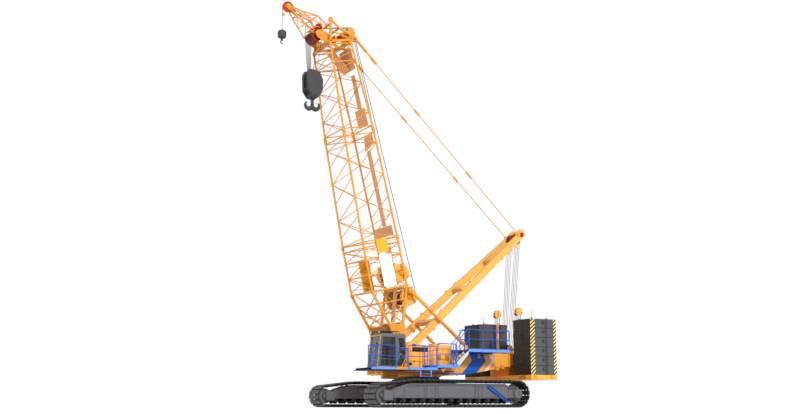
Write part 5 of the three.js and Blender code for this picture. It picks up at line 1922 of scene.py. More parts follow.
@dataclass
class Boom:
    """The boom from its foot plates to the sheaves at its head."""

    lattice: Lattice = field(default_factory=Lattice)
    body: str = "boom"
    plate: Pair = (1.12, 1.28)

    def build(self) -> None:
        """Builds the boom's sections, its winches, its walkways and its head."""
        self.root()
        self.middle()
        self.top()
        self.walkways()
        self.signs()
        for name, front, along in (("upper", -1.007, 4.49), ("lower", -1.22, 3.16)):
            self.winch(name, front, along)
        self.head()
        self.sheaves()
        self.jib()

    def root(self) -> None:
        """The foot plates, the spread tubes above them and the first straight bay."""
        lattice = self.lattice
        form = Form("boom_root_section")
        outline = [(-0.2, -0.18), (0.2, -0.18), (0.27, 0.3), (0.43, 1.9), (0.2, 1.98),
                   (-0.1, 1.86), (-0.42, 1.98), (-0.46, 1.88), (-0.235, 0.42), (-0.215, 0.1)]
        form.plate(outline, self.plate[0], self.plate[1], BOOM.at, 0.012)
        for along, front in ((1.62, 0.37), (1.68, -0.44)):
            form.beam(*BOOM.ends(front, 1.15, along), 0.06, 0.5, 0.01,
                      BOOM.way(1, 0))
        form.turned(BOOM.at(0, 1.1, 0), LEFT, [(0, 0.17), (0.2, 0.17), (0.21, 0.15)], 24)
        for front in (1, -1):
            foot = BOOM.at(front * 0.36, 1.2, 1.8)
            kink = lattice.spot("FL" if front > 0 else "BL", 3.76)
            form.tube(foot, kink, 0.082, 14, 0.066)
            form.turned(kink, kink - foot, [(-0.14, 0.07), (-0.12, 0.095), (0.05, 0.1),
                                            (0.07, 0.07)], 14)
        for low, high in (((0.36, 1.9), (-0.86, 3.1)), ((-0.4, 1.9), (0.86, 3.1))):
            form.tube(BOOM.at(low[0], 1.2, low[1]), BOOM.at(high[0], 1.2, high[1]), 0.036, 8)
        form.tube(BOOM.at(0.86, 1.2, 3.1), BOOM.at(-0.86, 1.2, 3.1), 0.036, 8)
        form.mirror()
        for front, low, high in ((0.62, 2.5, 3.68), (-0.62, 2.5, 3.68), (0.5, 1.95, 2.5)):
            for sign in (-1, 1):
                form.tube(BOOM.at(front, -1.18 * sign, low),
                          BOOM.at(front * high / 2.9, 1.18 * sign, high), 0.028, 8)
        for front, along in ((0.62, 2.5), (-0.62, 2.5), (0.86, 3.1)):
            form.tube(*BOOM.ends(front, 1.2, along), 0.036, 8)
        for corner, _, _ in lattice.corners:
            form.tube(lattice.spot(corner, 3.72), lattice.spot(corner, 6.25), lattice.chord, 14)
        lattice.hoop(form, 3.78, 0.055)
        for along in (4.65, 5.5, 6.12):
            lattice.hoop(form, along, 0.03)
        lattice.run(form, ("FL6.1 FR5.55", "FR6.1 FL5.55", "FL5.5 FR4.65", "FL4.6 FR3.9",
                           "FR4.6 FL3.9", "FL4.65 BL3.85", "BL5.5 FL4.65", "FL6.1 BL5.5",
                           "FR4.65 BR3.85", "BR5.5 FR4.65", "FR6.1 BR5.5", "BL6.1 BR5.5"))
        form.done(self.body, BOOM_PAINT, ["boom_root"])
        pins = Form("boom_rope_guides")
        for front, along, y in ((-1.06, 4.22, 1.2), (-1.0, 3.62, 1.2), (-1.03, 3.3, 1.15)):
            for sign in (1, -1):
                pins.tube(BOOM.at(front, sign * y, along),
                          BOOM.at(front - 0.42, sign * (y - 0.1), along + 0.02), 0.026, 10)
            pins.tube(*BOOM.ends(front - 0.4, y - 0.1, along), 0.02, 8)
        pins.done(self.body, ORANGE)

    def middle(self) -> None:
        """The middle section's chords and bars."""
        form = Form("boom_middle_section")
        lattice = self.lattice
        lattice.chords(form, 6.26, 12.29)
        for along in (6.42, 12.12):
            lattice.hoop(form, along)
        lattice.run(form, ("BL6.45 FL6.9 BL7.74 FL8.82 BL9.83 FL10.8 BL11.59 FL12.08",
                           "FR6.45 BR6.9 FR7.84 BR8.63 FR9.88 BR10.73 FR11.72 BR12.08",
                           "FL6.92 FR7.82 FL8.8 FR9.86 FL10.82 FR11.7 FL12.05",
                           "BR6.88 BL7.76 BR8.65 BL9.85 BR10.75 BL11.57 BR12.05"))
        lattice.run(form, ("FL7.84 FR6.92", "FL9.88 FR8.8", "FL11.72 FR10.82", "BL8.63 BR7.76",
                           "BL10.73 BR9.85"), 0.021)
        form.done(self.body, BOOM_PAINT, ["boom_insert"])

    def top(self) -> None:
        """The tapered top section's chords and bars."""
        form = Form("boom_top_section")
        lattice = self.lattice
        lattice.chords(form, 12.31, 17.22)
        for along in (12.5, 16.15, 17.12):
            lattice.hoop(form, along)
        lattice.run(form, ("FL12.55 BL13.3 FL14.1 BL14.9 FL15.7 BL16.1",
                           "BR12.55 FR13.3 BR14.1 FR14.9 BR15.7 FR16.1",
                           "FL12.53 FR13.32 FL14.12 FR14.92 FL15.72 FR16.1",
                           "BR12.53 BL13.32 BR14.12 BL14.92 BR15.72 BL16.1",
                           "FL16.2 BL16.7 FL17.08", "BR16.2 FR16.7 BR17.08",
                           "FR16.2 FL16.7 FR17.08", "BL16.2 BR16.7 BL17.08"), 0.024)
        lattice.run(form, ("FL13.3 FR12.55", "FL14.9 FR14.12", "BL14.9 BR14.12",
                           "FR16.15 FL15.72"), 0.019)
        form.done(self.body, BOOM_PAINT, ["boom_top"])

    @staticmethod
    def plank(form: Form, near: Pair, far: Pair, across: Pair) -> None:
        """Adds a plate up the boom.

        Args:
            form: The piece that gets it.
            near: Its lower end, in front of the boom's middle and along it.
            far: Its upper end, in the same way.
            across: How far across the crane its two sides are.
        """
        corners = [BOOM.at(near[0], across[0], near[1]), BOOM.at(near[0], across[1], near[1]),
                   BOOM.at(far[0], across[1], far[1]), BOOM.at(far[0], across[0], far[1])]
        form.sheet(corners, BOOM.way(0.02, 0), 0.004)

    def walkways(self) -> None:
        """The plank up the boom's back and the plates that widen it."""
        form = Form("boom_walkway")
        for low, high in ((7.1, 9.2), (9.22, 11.3), (13.62, 15.5), (1.98, 3.7), (3.9, 6.0)):
            fronts = [-(mix(1.0, 0.9, (along - 6) / 6) if along > 6 else 0.98) + 0.06
                      for along in (low, high)]
            if high < 3.8:
                fronts = [-0.3, -0.86]
            self.plank(form, (fronts[0], low), (fronts[1], high), (0.08, 0.5))
        for low, high, inner in ((6.55, 7.08, -1.05), (12.58, 13.55, -0.1), (15.7, 16.9, -0.35)):
            near, far = [(-mix(1.02, 0.6, (along - 6.5) / 10.5) + 0.05, along)
                         for along in (low, high)]
            self.plank(form, near, far, (inner, 1.02))
        corners = [BOOM.at(-0.86, -0.1, 11.3), BOOM.at(-0.86, 1.02, 11.55),
                   BOOM.at(-0.84, 1.02, 12.05),
                   BOOM.at(-0.84, 0.1, 12.05)]
        form.sheet(corners, BOOM.way(0.02, 0), 0.004)
        form.sheet([BOOM.at(0.1, 0.35, 16.9), BOOM.at(-0.58, 0.4, 15.8), BOOM.at(-0.58, -0.5, 15.8),
                    BOOM.at(0.1, -0.5, 16.9)], BOOM.way(0.02, 0.01), 0.004)
        form.done(self.body, TAN)

    def signs(self) -> None:
        """Blank boards on both sides of the root and the clips that hold them."""
        boards = (("white_board", 1.235, (-0.45, 0.3), (3.92, 5.6), SIGN_WHITE),
                  ("yellow_board", 1.235, (-0.36, 0.29), (5.72, 6.45), SIGN_YELLOW),
                  ("far_board", -1.25, (-0.4, 0.27), (3.85, 5.5), SIGN_YELLOW))
        for name, y, fronts, alongs, finish in boards:
            form = Form(name)
            form.plate([(fronts[0], alongs[0]), (fronts[1], alongs[0]), (fronts[1], alongs[1]),
                        (fronts[0], alongs[1])], y, y + 0.014, BOOM.at, 0.004)
            form.done(self.body, finish)
        clips = Form("board_clips")
        for _, y, _, alongs, _ in boards:
            for along in (alongs[0] + 0.18, alongs[1] - 0.18):
                clips.beam(BOOM.at(-1.0, y - 0.012, along), BOOM.at(1.0, y - 0.012, along), 0.014,
                           0.035)
        clips.done(self.body, BOOM_PAINT)

    def winch(self, name: str, front: float, along: float) -> None:
        """One hoist winch: its side frames on the boom and its drum on its own bearing.

        Args:
            name: Which winch.
            front: How far its axle is in front of the boom's middle.
            along: How far its axle is up the boom.
        """
        centre = BOOM.at(front, 0, along)
        frames = Form(f"{name}_winch_frames")
        outline = [(front + 0.1, along - 0.4), (front + 0.33, along - 0.56),
                   (front + 0.33, along + 0.56), (front + 0.1, along + 0.4)]
        frames.plate(outline, 0.905, 0.96, BOOM.at, 0.012)
        frames.turned(centre + LEFT * 0.905, LEFT,
                      [(0, 0.45), (0.03, 0.47), (0.07, 0.47), (0.08, 0.44),
                       (0.075, 0.3), (0.1, 0.28)], 36)
        frames.mirror()
        for offset in (-0.5, 0.5):
            frames.beam(BOOM.at(front + 0.24, -0.93, along + offset), BOOM.at(front + 0.24, 0.93,
                        along + offset), 0.1, 0.1, 0.012)
        frames.done(self.body, MAST_PAINT)
        hubs = Form(f"{name}_winch_hubs")
        for sign in (-1, 1):
            face = centre + LEFT * sign * 0.96
            hubs.turned(face, LEFT * sign, [(0.0, 0.22), (0.05, 0.22), (0.06, 0.17), (0.14, 0.16),
                                            (0.15, 0.11), (0.2, 0.1)], 26)
            bolt_ring(hubs, face + LEFT * sign * 0.05, LEFT * sign, 0.195, 10, 0.016, 0.016)
        hubs.done(self.body, BOOM_PAINT)
        drum = Form(f"{name}_winch_drum")
        for sign in (-1, 1):
            face = centre + LEFT * sign * 0.79
            drum.turned(face, LEFT * sign, [(-0.02, 0.3), (-0.02, 0.465), (0.0, 0.478),
                                            (0.045, 0.478), (0.06, 0.46), (0.056, 0.42),
                                            (0.045, 0.4), (0.045, 0.2), (0.05, 0.12)], 40)
        drum.axle(centre, 0.885, 0.085, 20)
        drum.done(f"{name}_winch", MAST_PAINT, [f"{name}_hoist_winch"])
        wraps = Form(f"{name}_winch_rope")
        profile = [(-0.775, 0.36)]
        for y in steps(-0.76, 0.76, 48):
            profile += [(y - 0.008, 0.372), (y + 0.008, 0.386)]
        wraps.turned(centre, LEFT, profile + [(0.775, 0.36)], 32)
        wraps.done(f"{name}_winch", ROPE_WOUND)

    def head(self) -> None:
        """The open frames at the boom's head, their lugs and the cheeks of its sheaves."""
        form = Form("boom_head_frame")
        y = 0.98
        lines = (((0.6, 17.3), (-0.78, 17.3), 0.13), ((0.56, 17.28), (0.3, 18.5), 0.12),
                 ((0.3, 18.5), (-0.14, 17.98), 0.1), ((-0.12, 18.0), (-1.08, 17.34), 0.13),
                 ((0.42, 17.9), (-0.72, 17.32), 0.07))
        for low, high, width in lines:
            form.beam(BOOM.at(low[0], y, low[1]), BOOM.at(high[0], y, high[1]), 0.09, width, 0.012)
        form.turned(BOOM.at(0.3, y - 0.045, 18.5), LEFT, [(0, 0.13), (0.09, 0.13), (0.1, 0.11)], 20)
        form.turned(BOOM.at(0.3, y - 0.06, 18.5), LEFT, [(0, 0.05), (0.12, 0.05)], 14)
        form.beam(BOOM.at(0.42, 0.8, 18.35), BOOM.at(0.86, 0.66, 17.95), 0.07, 0.07, 0.01)
        form.beam(BOOM.at(-1.13, 0.74, 17.3), BOOM.at(-0.6, 0.74, 17.36), 0.03, 0.16, 0.01)
        form.beam(BOOM.at(-1.13, 0.86, 17.3), BOOM.at(-0.6, 0.86, 17.36), 0.03, 0.16, 0.01)
        cheek = [(0.3, 17.28), (0.62, 17.28), (1.1, 17.66), (1.18, 17.9), (1.05, 18.04),
                 (0.84, 18.06), (0.5, 17.9), (0.36, 17.6)]
        form.plate(cheek, 0.62, 0.69, BOOM.at, 0.012)
        form.turned(BOOM.at(HEAD_AXLE[0], 0.68, HEAD_AXLE[1]), LEFT,
                    [(0, 0.15), (0.03, 0.15), (0.04, 0.1), (0.07, 0.09)], 22)
        form.tube(BOOM.at(0.4, 0.66, 18.2), BOOM.at(0.36, 0.98, 18.3), 0.045, 10)
        form.tube(BOOM.at(0.7, 0.66, 17.35), BOOM.at(0.6, 1.02, 17.3), 0.06, 10)
        form.mirror()
        for front, along, width, depth in ((0.6, 17.3, 0.12, 0.14), (-0.74, 17.3, 0.12, 0.14),
                                           (0.3, 18.28, 0.09, 0.09), (-0.14, 17.98, 0.09, 0.09),
                                           (0.2, 17.5, 0.08, 0.24)):
            form.beam(*BOOM.ends(front, 1.0, along), width, depth, 0.012,
                      BOOM.way(1, 0))
        form.tube(BOOM.at(1.33, -0.66, 18.0), BOOM.at(1.33, 0.86, 18.0), 0.03, 10)
        form.done(self.body, BOOM_PAINT, ["boom_head"])
        cover = Form("boom_head_cover")
        arc = []
        for radius in (0.43, 0.4):
            turns = steps(58, 120, 7) if radius > 0.41 else steps(120, 58, 7)
            arc += [(HEAD_AXLE[0] + radius * math.cos(math.radians(a)),
                     HEAD_AXLE[1] + radius * math.sin(math.radians(a)))
                    for a in turns]
        cover.plate(arc, -0.5, 0.5, BOOM.at)
        cover.box(BOOM.at(0.66, -0.3, 18.24), BOOM.at(0.9, 0.2, 18.32), 0.03)
        guard = [(-1.28, 17.74), (-1.22, 18.02), (-1.04, 18.14), (-0.9, 18.12), (-0.8, 17.9),
                 (-0.9, 17.4)]
        for low in (-0.16, -0.5, 0.2, 0.54):
            cover.plate(guard, low, low + 0.03, BOOM.at, 0.006)
        cover.done(self.body, BOOM_PAINT)

    def sheaves(self) -> None:
        """The grooved sheaves at the boom's head and the two guides behind them."""
        head = BOOM.at(HEAD_AXLE[0], 0, HEAD_AXLE[1])
        form = Form("head_sheave_set")
        for y in steps(-0.4, 0.4, 6):
            form.turned(head + LEFT * y, LEFT, grooved(0.33, 0.13), 36)
        form.axle(head, 0.7, 0.07, 20)
        form.done(self.body, SHEAVE_RED, ["head_sheaves"])
        guides = Form("guide_sheaves")
        for y in (-0.32, 0.37):
            centre = BOOM.at(-1.02, y, 17.92)
            guides.turned(centre, LEFT, grooved(0.19, 0.1), 30)
            guides.axle(centre, 0.19, 0.035, 12)
        for y in (-0.32, 0.37):
            guides.turned(BOOM.at(-0.32, y, 17.6), LEFT, grooved(0.14, 0.09), 28)
        guides.tube(*BOOM.ends(-0.32, 0.98, 17.6), 0.03, 12)
        guides.turned(BOOM.at(0.75, 0.3, 18.28), LEFT, grooved(0.2, 0.11), 30)
        guides.done(self.body, BRIGHT_RED)

    def jib(self) -> None:
        """The short lattice that holds the single-line sheave ahead of the head."""
        tip = TIP_AXLE
        form = Form("tip_jib_frame")
        upper = [(0.36, 0.6, 18.22), (0.75, 0.5, 18.86), (1.5, 0.3, 19.2),
                 (tip[0], 0.13, tip[1] + 0.04)]
        lower = [(1.25, 0.56, 17.92), (1.6, 0.42, 18.46), (1.9, 0.27, 19.0),
                 (tip[0] - 0.02, 0.13, tip[1] - 0.04)]
        middle = [(0.62, 0.56, 18.34), (1.1, 0.42, 18.72), (1.62, 0.28, 19.08),
                  (tip[0] - 0.04, 0.13, tip[1])]
        for rail, radius in ((upper, 0.036), (lower, 0.034), (middle, 0.03)):
            spots = [BOOM.at(*spot) for spot in rail]
            for start, end in zip(spots, spots[1:]):
                form.tube(start, end, radius, 9)
        for pairs in (((upper[1], middle[1]), (middle[1], lower[1])),
                      ((upper[2], middle[2]), (middle[2], lower[2])),
                      ((upper[1], middle[0]), (middle[2], lower[1])),
                      ((upper[2], middle[1]), (middle[1], lower[0]))):
            for start, end in pairs:
                form.tube(BOOM.at(*start), BOOM.at(*end), 0.018, 7)
        form.plate([(1.86, 19.2), (2.24, 19.4), (2.34, 19.57), (2.24, 19.72), (2.08, 19.72),
                    (1.78, 19.32)], 0.105, 0.135, BOOM.at, 0.006)
        form.turned(BOOM.at(tip[0], 0.13, tip[1]), LEFT, [(0, 0.09), (0.03, 0.09), (0.04, 0.05)],
                    18)
        form.mirror()
        for start, end in ((upper[1], upper[2]), (lower[1], lower[2])):
            for sign in (-1, 1):
                form.tube(BOOM.at(start[0], start[1] * sign, start[2]),
                          BOOM.at(end[0], -end[1] * sign, end[2]), 0.016, 7)
        for front, half, along in (upper[1], upper[2], lower[1], lower[2], middle[1]):
            form.tube(*BOOM.ends(front, half, along), 0.022, 8)
        form.box(BOOM.at(tip[0] + 0.28, -0.03, tip[1] - 0.5),
                 BOOM.at(tip[0] + 0.36, 0.03, tip[1] - 0.3), 0.01)
        form.done(self.body, BOOM_PAINT, ["tip_jib"])
        sheave = Form("tip_sheave_wheel")
        centre = BOOM.at(tip[0], 0, tip[1])
        sheave.turned(centre, LEFT, grooved(0.285, 0.16, 0.05), 40)
        sheave.axle(centre, 0.1, 0.06, 16)
        sheave.done(self.body, BRIGHT_RED, ["tip_sheave"])


# --------------------------------------------------------------------------------------------
# Mast, ropes and hooks
# --------------------------------------------------------------------------------------------


@dataclass
class Mast:
    """The leaning mast that the boom is hauled up by."""

    body: str = "mast"
    sheave: Triple = (-0.06, 0.0, 9.85)

    def build(self) -> None:
        """Builds the legs, what ties them and the head."""
        for node in ("mast_left_leg", "mast_right_leg", "mast_lower_tie", "mast_upper_tie",
                     "mast_head"):
            skinned(node, f"{node}_plates", 0.012, self.body, MAST_PAINT)
        self.fittings()
        self.head()

    def leg_y(self, along: float) -> float:
        """How far a leg's middle is from the crane's middle."""
        return mix(1.2, 0.43, (along - 0.36) / 10.04)

    def fittings(self) -> None:
        """The brackets, bands and clips along the legs."""
        form = Form("mast_brackets")
        for front, along, size in ((-0.18, 2.35, 0.1), (0.18, 2.75, 0.1), (-0.18, 1.75, 0.1),
                                   (0.18, 4.75, 0.14), (0.18, 5.5, 0.16), (-0.18, 8.1, 0.08)):
            y = self.leg_y(along)
            form.plate([(front - 0.02, along - size),
                        (front + math.copysign(0.1, front), along - size / 2),
                        (front + math.copysign(0.1, front), along + size / 2),
                        (front - 0.02, along + size)],
                       y - 0.06, y + 0.06, MAST.at, 0.012)
        form.mirror()
        form.done(self.body, MAST_PAINT)
        band = Form("mast_bands")
        y = self.leg_y(1.4)
        band.beam(MAST.at(0, y, 1.4), MAST.at(0, y, 1.46), 0.262, 0.372, 0.008)
        band.mirror()
        band.done(self.body, ORANGE)

    def head(self) -> None:
        """The head's sheaves, pendant pins and the two stop rods."""
        centre = MAST.at(*self.sheave)
        form = Form("mast_head_sheaves")
        for y in steps(-0.225, 0.225, 5):
            form.turned(centre + LEFT * y, LEFT, grooved(0.3, 0.085, 0.035), 36)
        form.axle(centre, 0.43, 0.06, 18)
        for sign in (-1, 1):
            form.turned(MAST.at(0.02, sign * 0.62, 10.12), LEFT * sign,
                        [(-0.1, 0.1), (-0.02, 0.13), (0.02, 0.13), (0.05, 0.06)], 20)
        form.done(self.body, SHEAVE_RED, ["mast_sheaves"])
        ends = Form("mast_head_pins")
        eye = MAST.at(0.15, 0.55, 9.907)
        ends.turned(eye, LEFT, [(-0.02, 0.09), (0.02, 0.09), (0.03, 0.035), (0.13, 0.035),
                                (0.135, 0.06),
                                (0.15, 0.05)], 18)
        ends.turned(centre + LEFT * 0.42, LEFT,
                    [(0.1, 0.13), (0.16, 0.13), (0.18, 0.08), (0.2, 0.05)], 20)
        ends.plate([(-0.3, 10.0), (0.3, 10.0), (0.26, 10.42), (-0.2, 10.44)], 0.3, 0.33, MAST.at,
                   0.008)
        ends.tube(MAST.at(-0.3, 0.33, 9.5), MAST.at(-0.62, 0.33, 9.62), 0.028, 10)
        ends.tube(MAST.at(-0.3, 0.2, 9.1), MAST.at(-0.58, 0.2, 9.2), 0.024, 10)
        ends.mirror()
        ends.beam(*MAST.ends(0.12, 0.4, 10.36), 0.09, 0.09, 0.012)
        ends.done(self.body, MAST_PAINT)


@dataclass
class Ropes:
    """Pendants, backstops and every rope of the crane."""

    lower: Triple = (-5.86, 0.0, 3.2)

    def build(self) -> None:
        """Builds the stays and the ropes."""
        for side in Side:
            self.pendant(side)
            self.backstop(side)
        self.reeving()
        self.hoist_ropes()

    def pendant(self, side: Side) -> None:
        """One stay: plate links at the boom, then slim bars with couplers up to the mast.

        Args:
            side: Which side of the crane.
        """
        sign = side.value
        start, end = BOOM.at(-1.13, sign * 0.8, 17.3), MAST.at(0.15, sign * 0.65, 9.907)
        way = (end - start).normalized()
        length = (end - start).length
        form = Form(f"{side.word}_stay")
        for low, high, offset in ((0.0, 0.75, 0.034), (0.72, 1.3, 0.0), (1.27, 1.62, 0.03)):
            for spread in ({offset, -offset}):
                form.beam(start + way * (low - 0.06) + LEFT * spread, start + way * (high + 0.06)
                          + LEFT * spread, 0.02, 0.12, 0.006)
        for spot in (0.0, 0.74, 1.3):
            form.tube(start + way * spot - LEFT * 0.07, start + way * spot + LEFT * 0.07, 0.045, 14)
        joints = (1.6, length * 0.36, length * 0.68, length - 0.12)
        for low, high in zip(joints, joints[1:]):
            form.tube(start + way * low, start + way * high, 0.022, 10)
        for spot in joints[1:-1]:
            for offset in (-0.025, 0.025):
                form.beam(start + way * (spot - 0.17) + LEFT * offset, start + way * (spot + 0.17)
                          + LEFT * offset, 0.016, 0.1, 0.005)
            form.turned(start + way * (spot - 0.3), way, [(0, 0.024), (0.08, 0.042), (0.5, 0.042),
                                                          (0.6, 0.024)], 12)
        form.turned(end, LEFT, [(-0.03, 0.045), (-0.03, 0.09), (0.03, 0.09), (0.03, 0.045)], 18)
        form.done("pendants", BOOM_PAINT, [f"{side.word}_pendant"])

    def backstop(self, side: Side) -> None:
        """One telescopic stop: its rod on the turntable's end, its tube on the boom's.

        Args:
            side: Which side of the crane.
        """
        sign = side.value
        foot = at(-2.27, sign * 1.4, 3.19)
        top = BOOM.at(-1.092, sign * 1.4, 3.495)
        way = (top - foot).normalized()
        length = (top - foot).length
        rod = Form(f"{side.word}_stop_rod")
        rod.turned(foot, way, [(0.09, 0.05), (3.3, 0.05)], 20)
        rod.turned(foot, LEFT, [(-0.055, 0.05), (-0.055, 0.1), (0.055, 0.1), (0.055, 0.05)], 20)
        rod.turned(foot, way, [(0.08, 0.07), (0.28, 0.075), (0.32, 0.1), (0.5, 0.1), (0.52, 0.06)],
                   20)
        rod.done("backstop_rods", BOOM_PAINT, [f"{side.word}_backstop_rod"])
        tube = Form(f"{side.word}_stop_tube")
        tube.turned(foot, way, [(0.62, 0.06), (0.64, 0.102), (0.86, 0.102), (0.88, 0.088),
                                (1.3, 0.088),
                                (1.32, 0.098), (1.4, 0.098), (1.42, 0.085), (length - 0.16, 0.085),
                                (length - 0.12, 0.06)], 22)
        tube.turned(top, LEFT, [(-0.08, 0.05), (-0.08, 0.11), (0.08, 0.11), (0.08, 0.05)], 20)
        tube.done("backstop_tubes", BOOM_PAINT, [f"{side.word}_backstop_tube"])

    def reeving(self) -> None:
        """The many falls between the mast's head and the block behind the turntable."""
        low = at(*self.lower)
        block = Form("rear_block")
        for y in steps(-0.225, 0.225, 5):
            block.turned(low + LEFT * y, LEFT, grooved(0.26, 0.085, 0.035), 32)
        block.axle(low, 0.42, 0.05, 14)
        block.done(UPPER, DARK)
        cheeks = Form("rear_block_cheeks")
        cheeks.plate([(-6.08, 2.88), (-5.6, 2.88), (-5.68, 3.32), (-5.8, 3.42), (-5.94, 3.42),
                      (-6.02, 3.32)], 0.31, 0.35, bevel=0.01)
        cheeks.mirror()
        cheeks.done(UPPER, MAST_PAINT)
        falls = Form("mast_falls")
        for y in steps(-0.225, 0.225, 4):
            head = MAST.at(-0.06, y, 9.85)
            way = (head - (low + LEFT * y)).normalized()
            out = way.cross(LEFT).normalized()
            for sign in (-1, 1):
                falls.tube(low + LEFT * y + out * sign * 0.2, head + out * sign * 0.285, 0.0105, 6)
        piece = settle(falls.solid(), "", ROPE_DARK)
        tuple(low + Vector((0, 0, 0.5)))
        tuple(MAST.at(-0.06, 0, 9.3))
        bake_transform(piece)

    def hoist_ropes(self) -> None:
        """The two hoist ropes along the boom's back and round its sheaves."""
        form = Form("hoist_ropes")
        runs = ((-1.007, 4.49, 0.66, 0.36), (-1.3, 3.2, 0.83, 0.46))
        for front, along, low_y, high_y in runs:
            start = BOOM.at(front - 0.42, low_y, along + 0.05)
            over = [BOOM.at(-1.02 + 0.2 * math.cos(math.radians(a)), high_y, 17.92
                            + 0.2 * math.sin(math.radians(a))) for a in (180, 150, 120, 90)]
            form.route([start, *over, BOOM.at(0.85, high_y, 18.19)], 0.016, 7)
        form.done("boom", ROPE_DARK)
        jib = Form("jib_rope")
        centre = TIP_AXLE
        over = [BOOM.at(centre[0] + 0.292 * math.cos(math.radians(a)), 0, centre[1]
                        + 0.292 * math.sin(math.radians(a))) for a in steps(140, -8, 8)]
        jib.route([BOOM.at(0.9, 0.3, 18.2), *over], 0.011, 7)
        jib.done("boom", ROPE)


@dataclass
class Hooks:
    """The main block with its double hook and the single-line ball with its hook."""

    sheave: Vector = field(default_factory=lambda: BOOM.at(HEAD_AXLE[0], 0, HEAD_AXLE[1]))
    tip: Vector = field(default_factory=lambda: BOOM.at(TIP_AXLE[0], 0, TIP_AXLE[1]))

    def build(self) -> None:
        """Builds both hooks and what they hang on."""
        self.falls()
        self.block()
        self.double_hook()
        self.ball()

    def falls(self) -> None:
        """The ropes between the head's sheaves and the main block, and the single line."""
        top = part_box("main_hook_block")[1].z
        form = Form("main_hoist_falls")
        for y in steps(-0.36, 0.36, 7):
            for x, foot_x in ((0.342, 0.2), (-0.31, -0.1)):
                if abs(y) > 0.3 or x > 0:
                    form.tube(self.sheave + Vector((x, y, 0.0)),
                              Vector((self.sheave.x + 0.04 + foot_x, y * 0.6, top - 0.3)), 0.0115,
                              6)
        piece = settle(form.solid(), "", ROPE_DARK, ["main_falls"])
        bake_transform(piece)
        low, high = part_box("aux_hook_block")
        line = Form("single_fall")
        centre = Vector(((low.x + high.x) / 2, 0, high.z))
        line.tube(Vector((centre.x, 0, self.tip.z)), centre - UP * 0.05, 0.0115, 8)
        piece = settle(line.solid(), "", ROPE, ["aux_falls"])
        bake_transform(piece)

    def block(self) -> None:
        """The main block: two pairs of cheek plates with the sheaves between them."""
        low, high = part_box("main_hook_block")
        x, top = (low.x + high.x) / 2, high.z
        outline = [(x - 0.28, top - 0.06), (x + 0.12, top + 0.02), (x + 0.36, top),
                   (x + 0.47, top - 0.22),
                   (x + 0.44, top - 1.1), (x + 0.2, top - 1.45), (x - 0.24, top - 1.45),
                   (x - 0.46, top - 1.05), (x - 0.47, top - 0.5)]
        form = Form("main_block_cheeks")
        spot: Place = lambda a, y, b: Vector((a, y, b))
        for y in (0.31, 0.19):
            form.plate(outline, y, y + 0.04, spot, 0.012)
        form.plate([(x - 0.36, top - 0.6), (x + 0.4, top - 0.52), (x + 0.38, top - 1.08),
                    (x + 0.16, top - 1.38), (x - 0.2, top - 1.38), (x - 0.38, top - 1.02)],
                   0.35, 0.37, spot, 0.008)
        for dx, dz in ((-0.12, 0.22), (0.14, 0.16), (0.02, 0.4), (-0.16, 1.2), (0.16, 1.2)):
            form.tube(Vector((x + dx, 0.345, top - dz)), Vector((x + dx, 0.362, top - dz)), 0.04,
                      12)
        form.mirror()
        for dx, dz in ((0.0, 1.4), (-0.34, 0.3), (0.34, 0.2), (-0.4, 1.0), (0.38, 1.0)):
            form.tube(Vector((x + dx, -0.33, top - dz)), Vector((x + dx, 0.33, top - dz)), 0.034,
                      12)
        form.box((x - 0.22, -0.3, top - 1.5), (x + 0.22, 0.3, top - 1.2), 0.03)
        form.box((x - 0.36, -0.05, top - 1.2), (x + 0.36, 0.05, top - 0.2), 0.03)
        form.done("main_hook_block", HOOK_GREY, ["main_hook_block"])
        wheels = Form("main_block_sheaves")
        for y in (-0.26, -0.12, 0.12, 0.26):
            wheels.turned(Vector((x, y, top - 0.5)), LEFT, grooved(0.36, 0.1, 0.04), 32)
        wheels.done("main_hook_block", DARK)

    def double_hook(self) -> None:
        """The two-horned hook under the main block, with its latches."""
        low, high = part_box("main_hook")
        x, top = (low.x + high.x) / 2, high.z - 0.35
        form = Form("double_hook")
        form.turned(Vector((x, 0, top + 0.02)), -UP,
                    [(0, 0.1), (0.02, 0.12), (0.1, 0.12), (0.14, 0.08),
                    (0.3, 0.085), (0.5, 0.12), (0.62, 0.07)], 22)
        turns = steps(165, 408, 18)
        sizes = [mix(0.08, 0.125, min(1.0, k / 6)) * mix(1.0, 0.34, max(0.0, (k - 7) / 10))
                 for k in range(18)]
        for sign in (-1, 1):
            centre = Vector((x + sign * 0.2, 0, top - 0.38))
            points = [centre + Vector((sign * 0.2 * math.cos(math.radians(a)), 0,
                                       0.2 * math.sin(math.radians(a)))) for a in turns]
            form.route(points, sizes, 14)
        form.done("main_hook", HOOK_GREY, ["main_hook"])
        latch = Form("hook_latches")
        for sign in (-1, 1):
            latch.beam(Vector((x + sign * 0.08, 0, top - 0.2)),
                       Vector((x + sign * 0.33, 0, top - 0.27)),
                       0.05, 0.014, 0.004)
        latch.done("main_hook", BARE_STEEL)

    def ball(self) -> None:
        """The single-line weight, its swivel and its hook."""
        low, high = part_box("aux_hook_block")
        centre = Vector(((low.x + high.x) / 2, 0, high.z))
        form = Form("single_line_ball")
        form.turned(centre, -UP, [(0.0, 0.03), (0.0, 0.06), (0.05, 0.07), (0.06, 0.17),
                                  (0.12, 0.228),
                                  (0.4, 0.228), (0.46, 0.17), (0.48, 0.07), (0.56, 0.06),
                                  (0.58, 0.045),
                                  (0.62, 0.045)], 28)
        ring = [centre + Vector((-0.075 * math.sin(math.radians(a)), 0, -0.69
                                 + 0.075 * math.cos(math.radians(a))))
                for a in steps(-10, -265, 16)]
        form.route(ring, [mix(0.032, 0.016, k / 15) for k in range(16)], 10)
        form.done("aux_hook_block", HOOK_GREY, ["aux_hook_block"])


# --------------------------------------------------------------------------------------------
# Cab
# --------------------------------------------------------------------------------------------


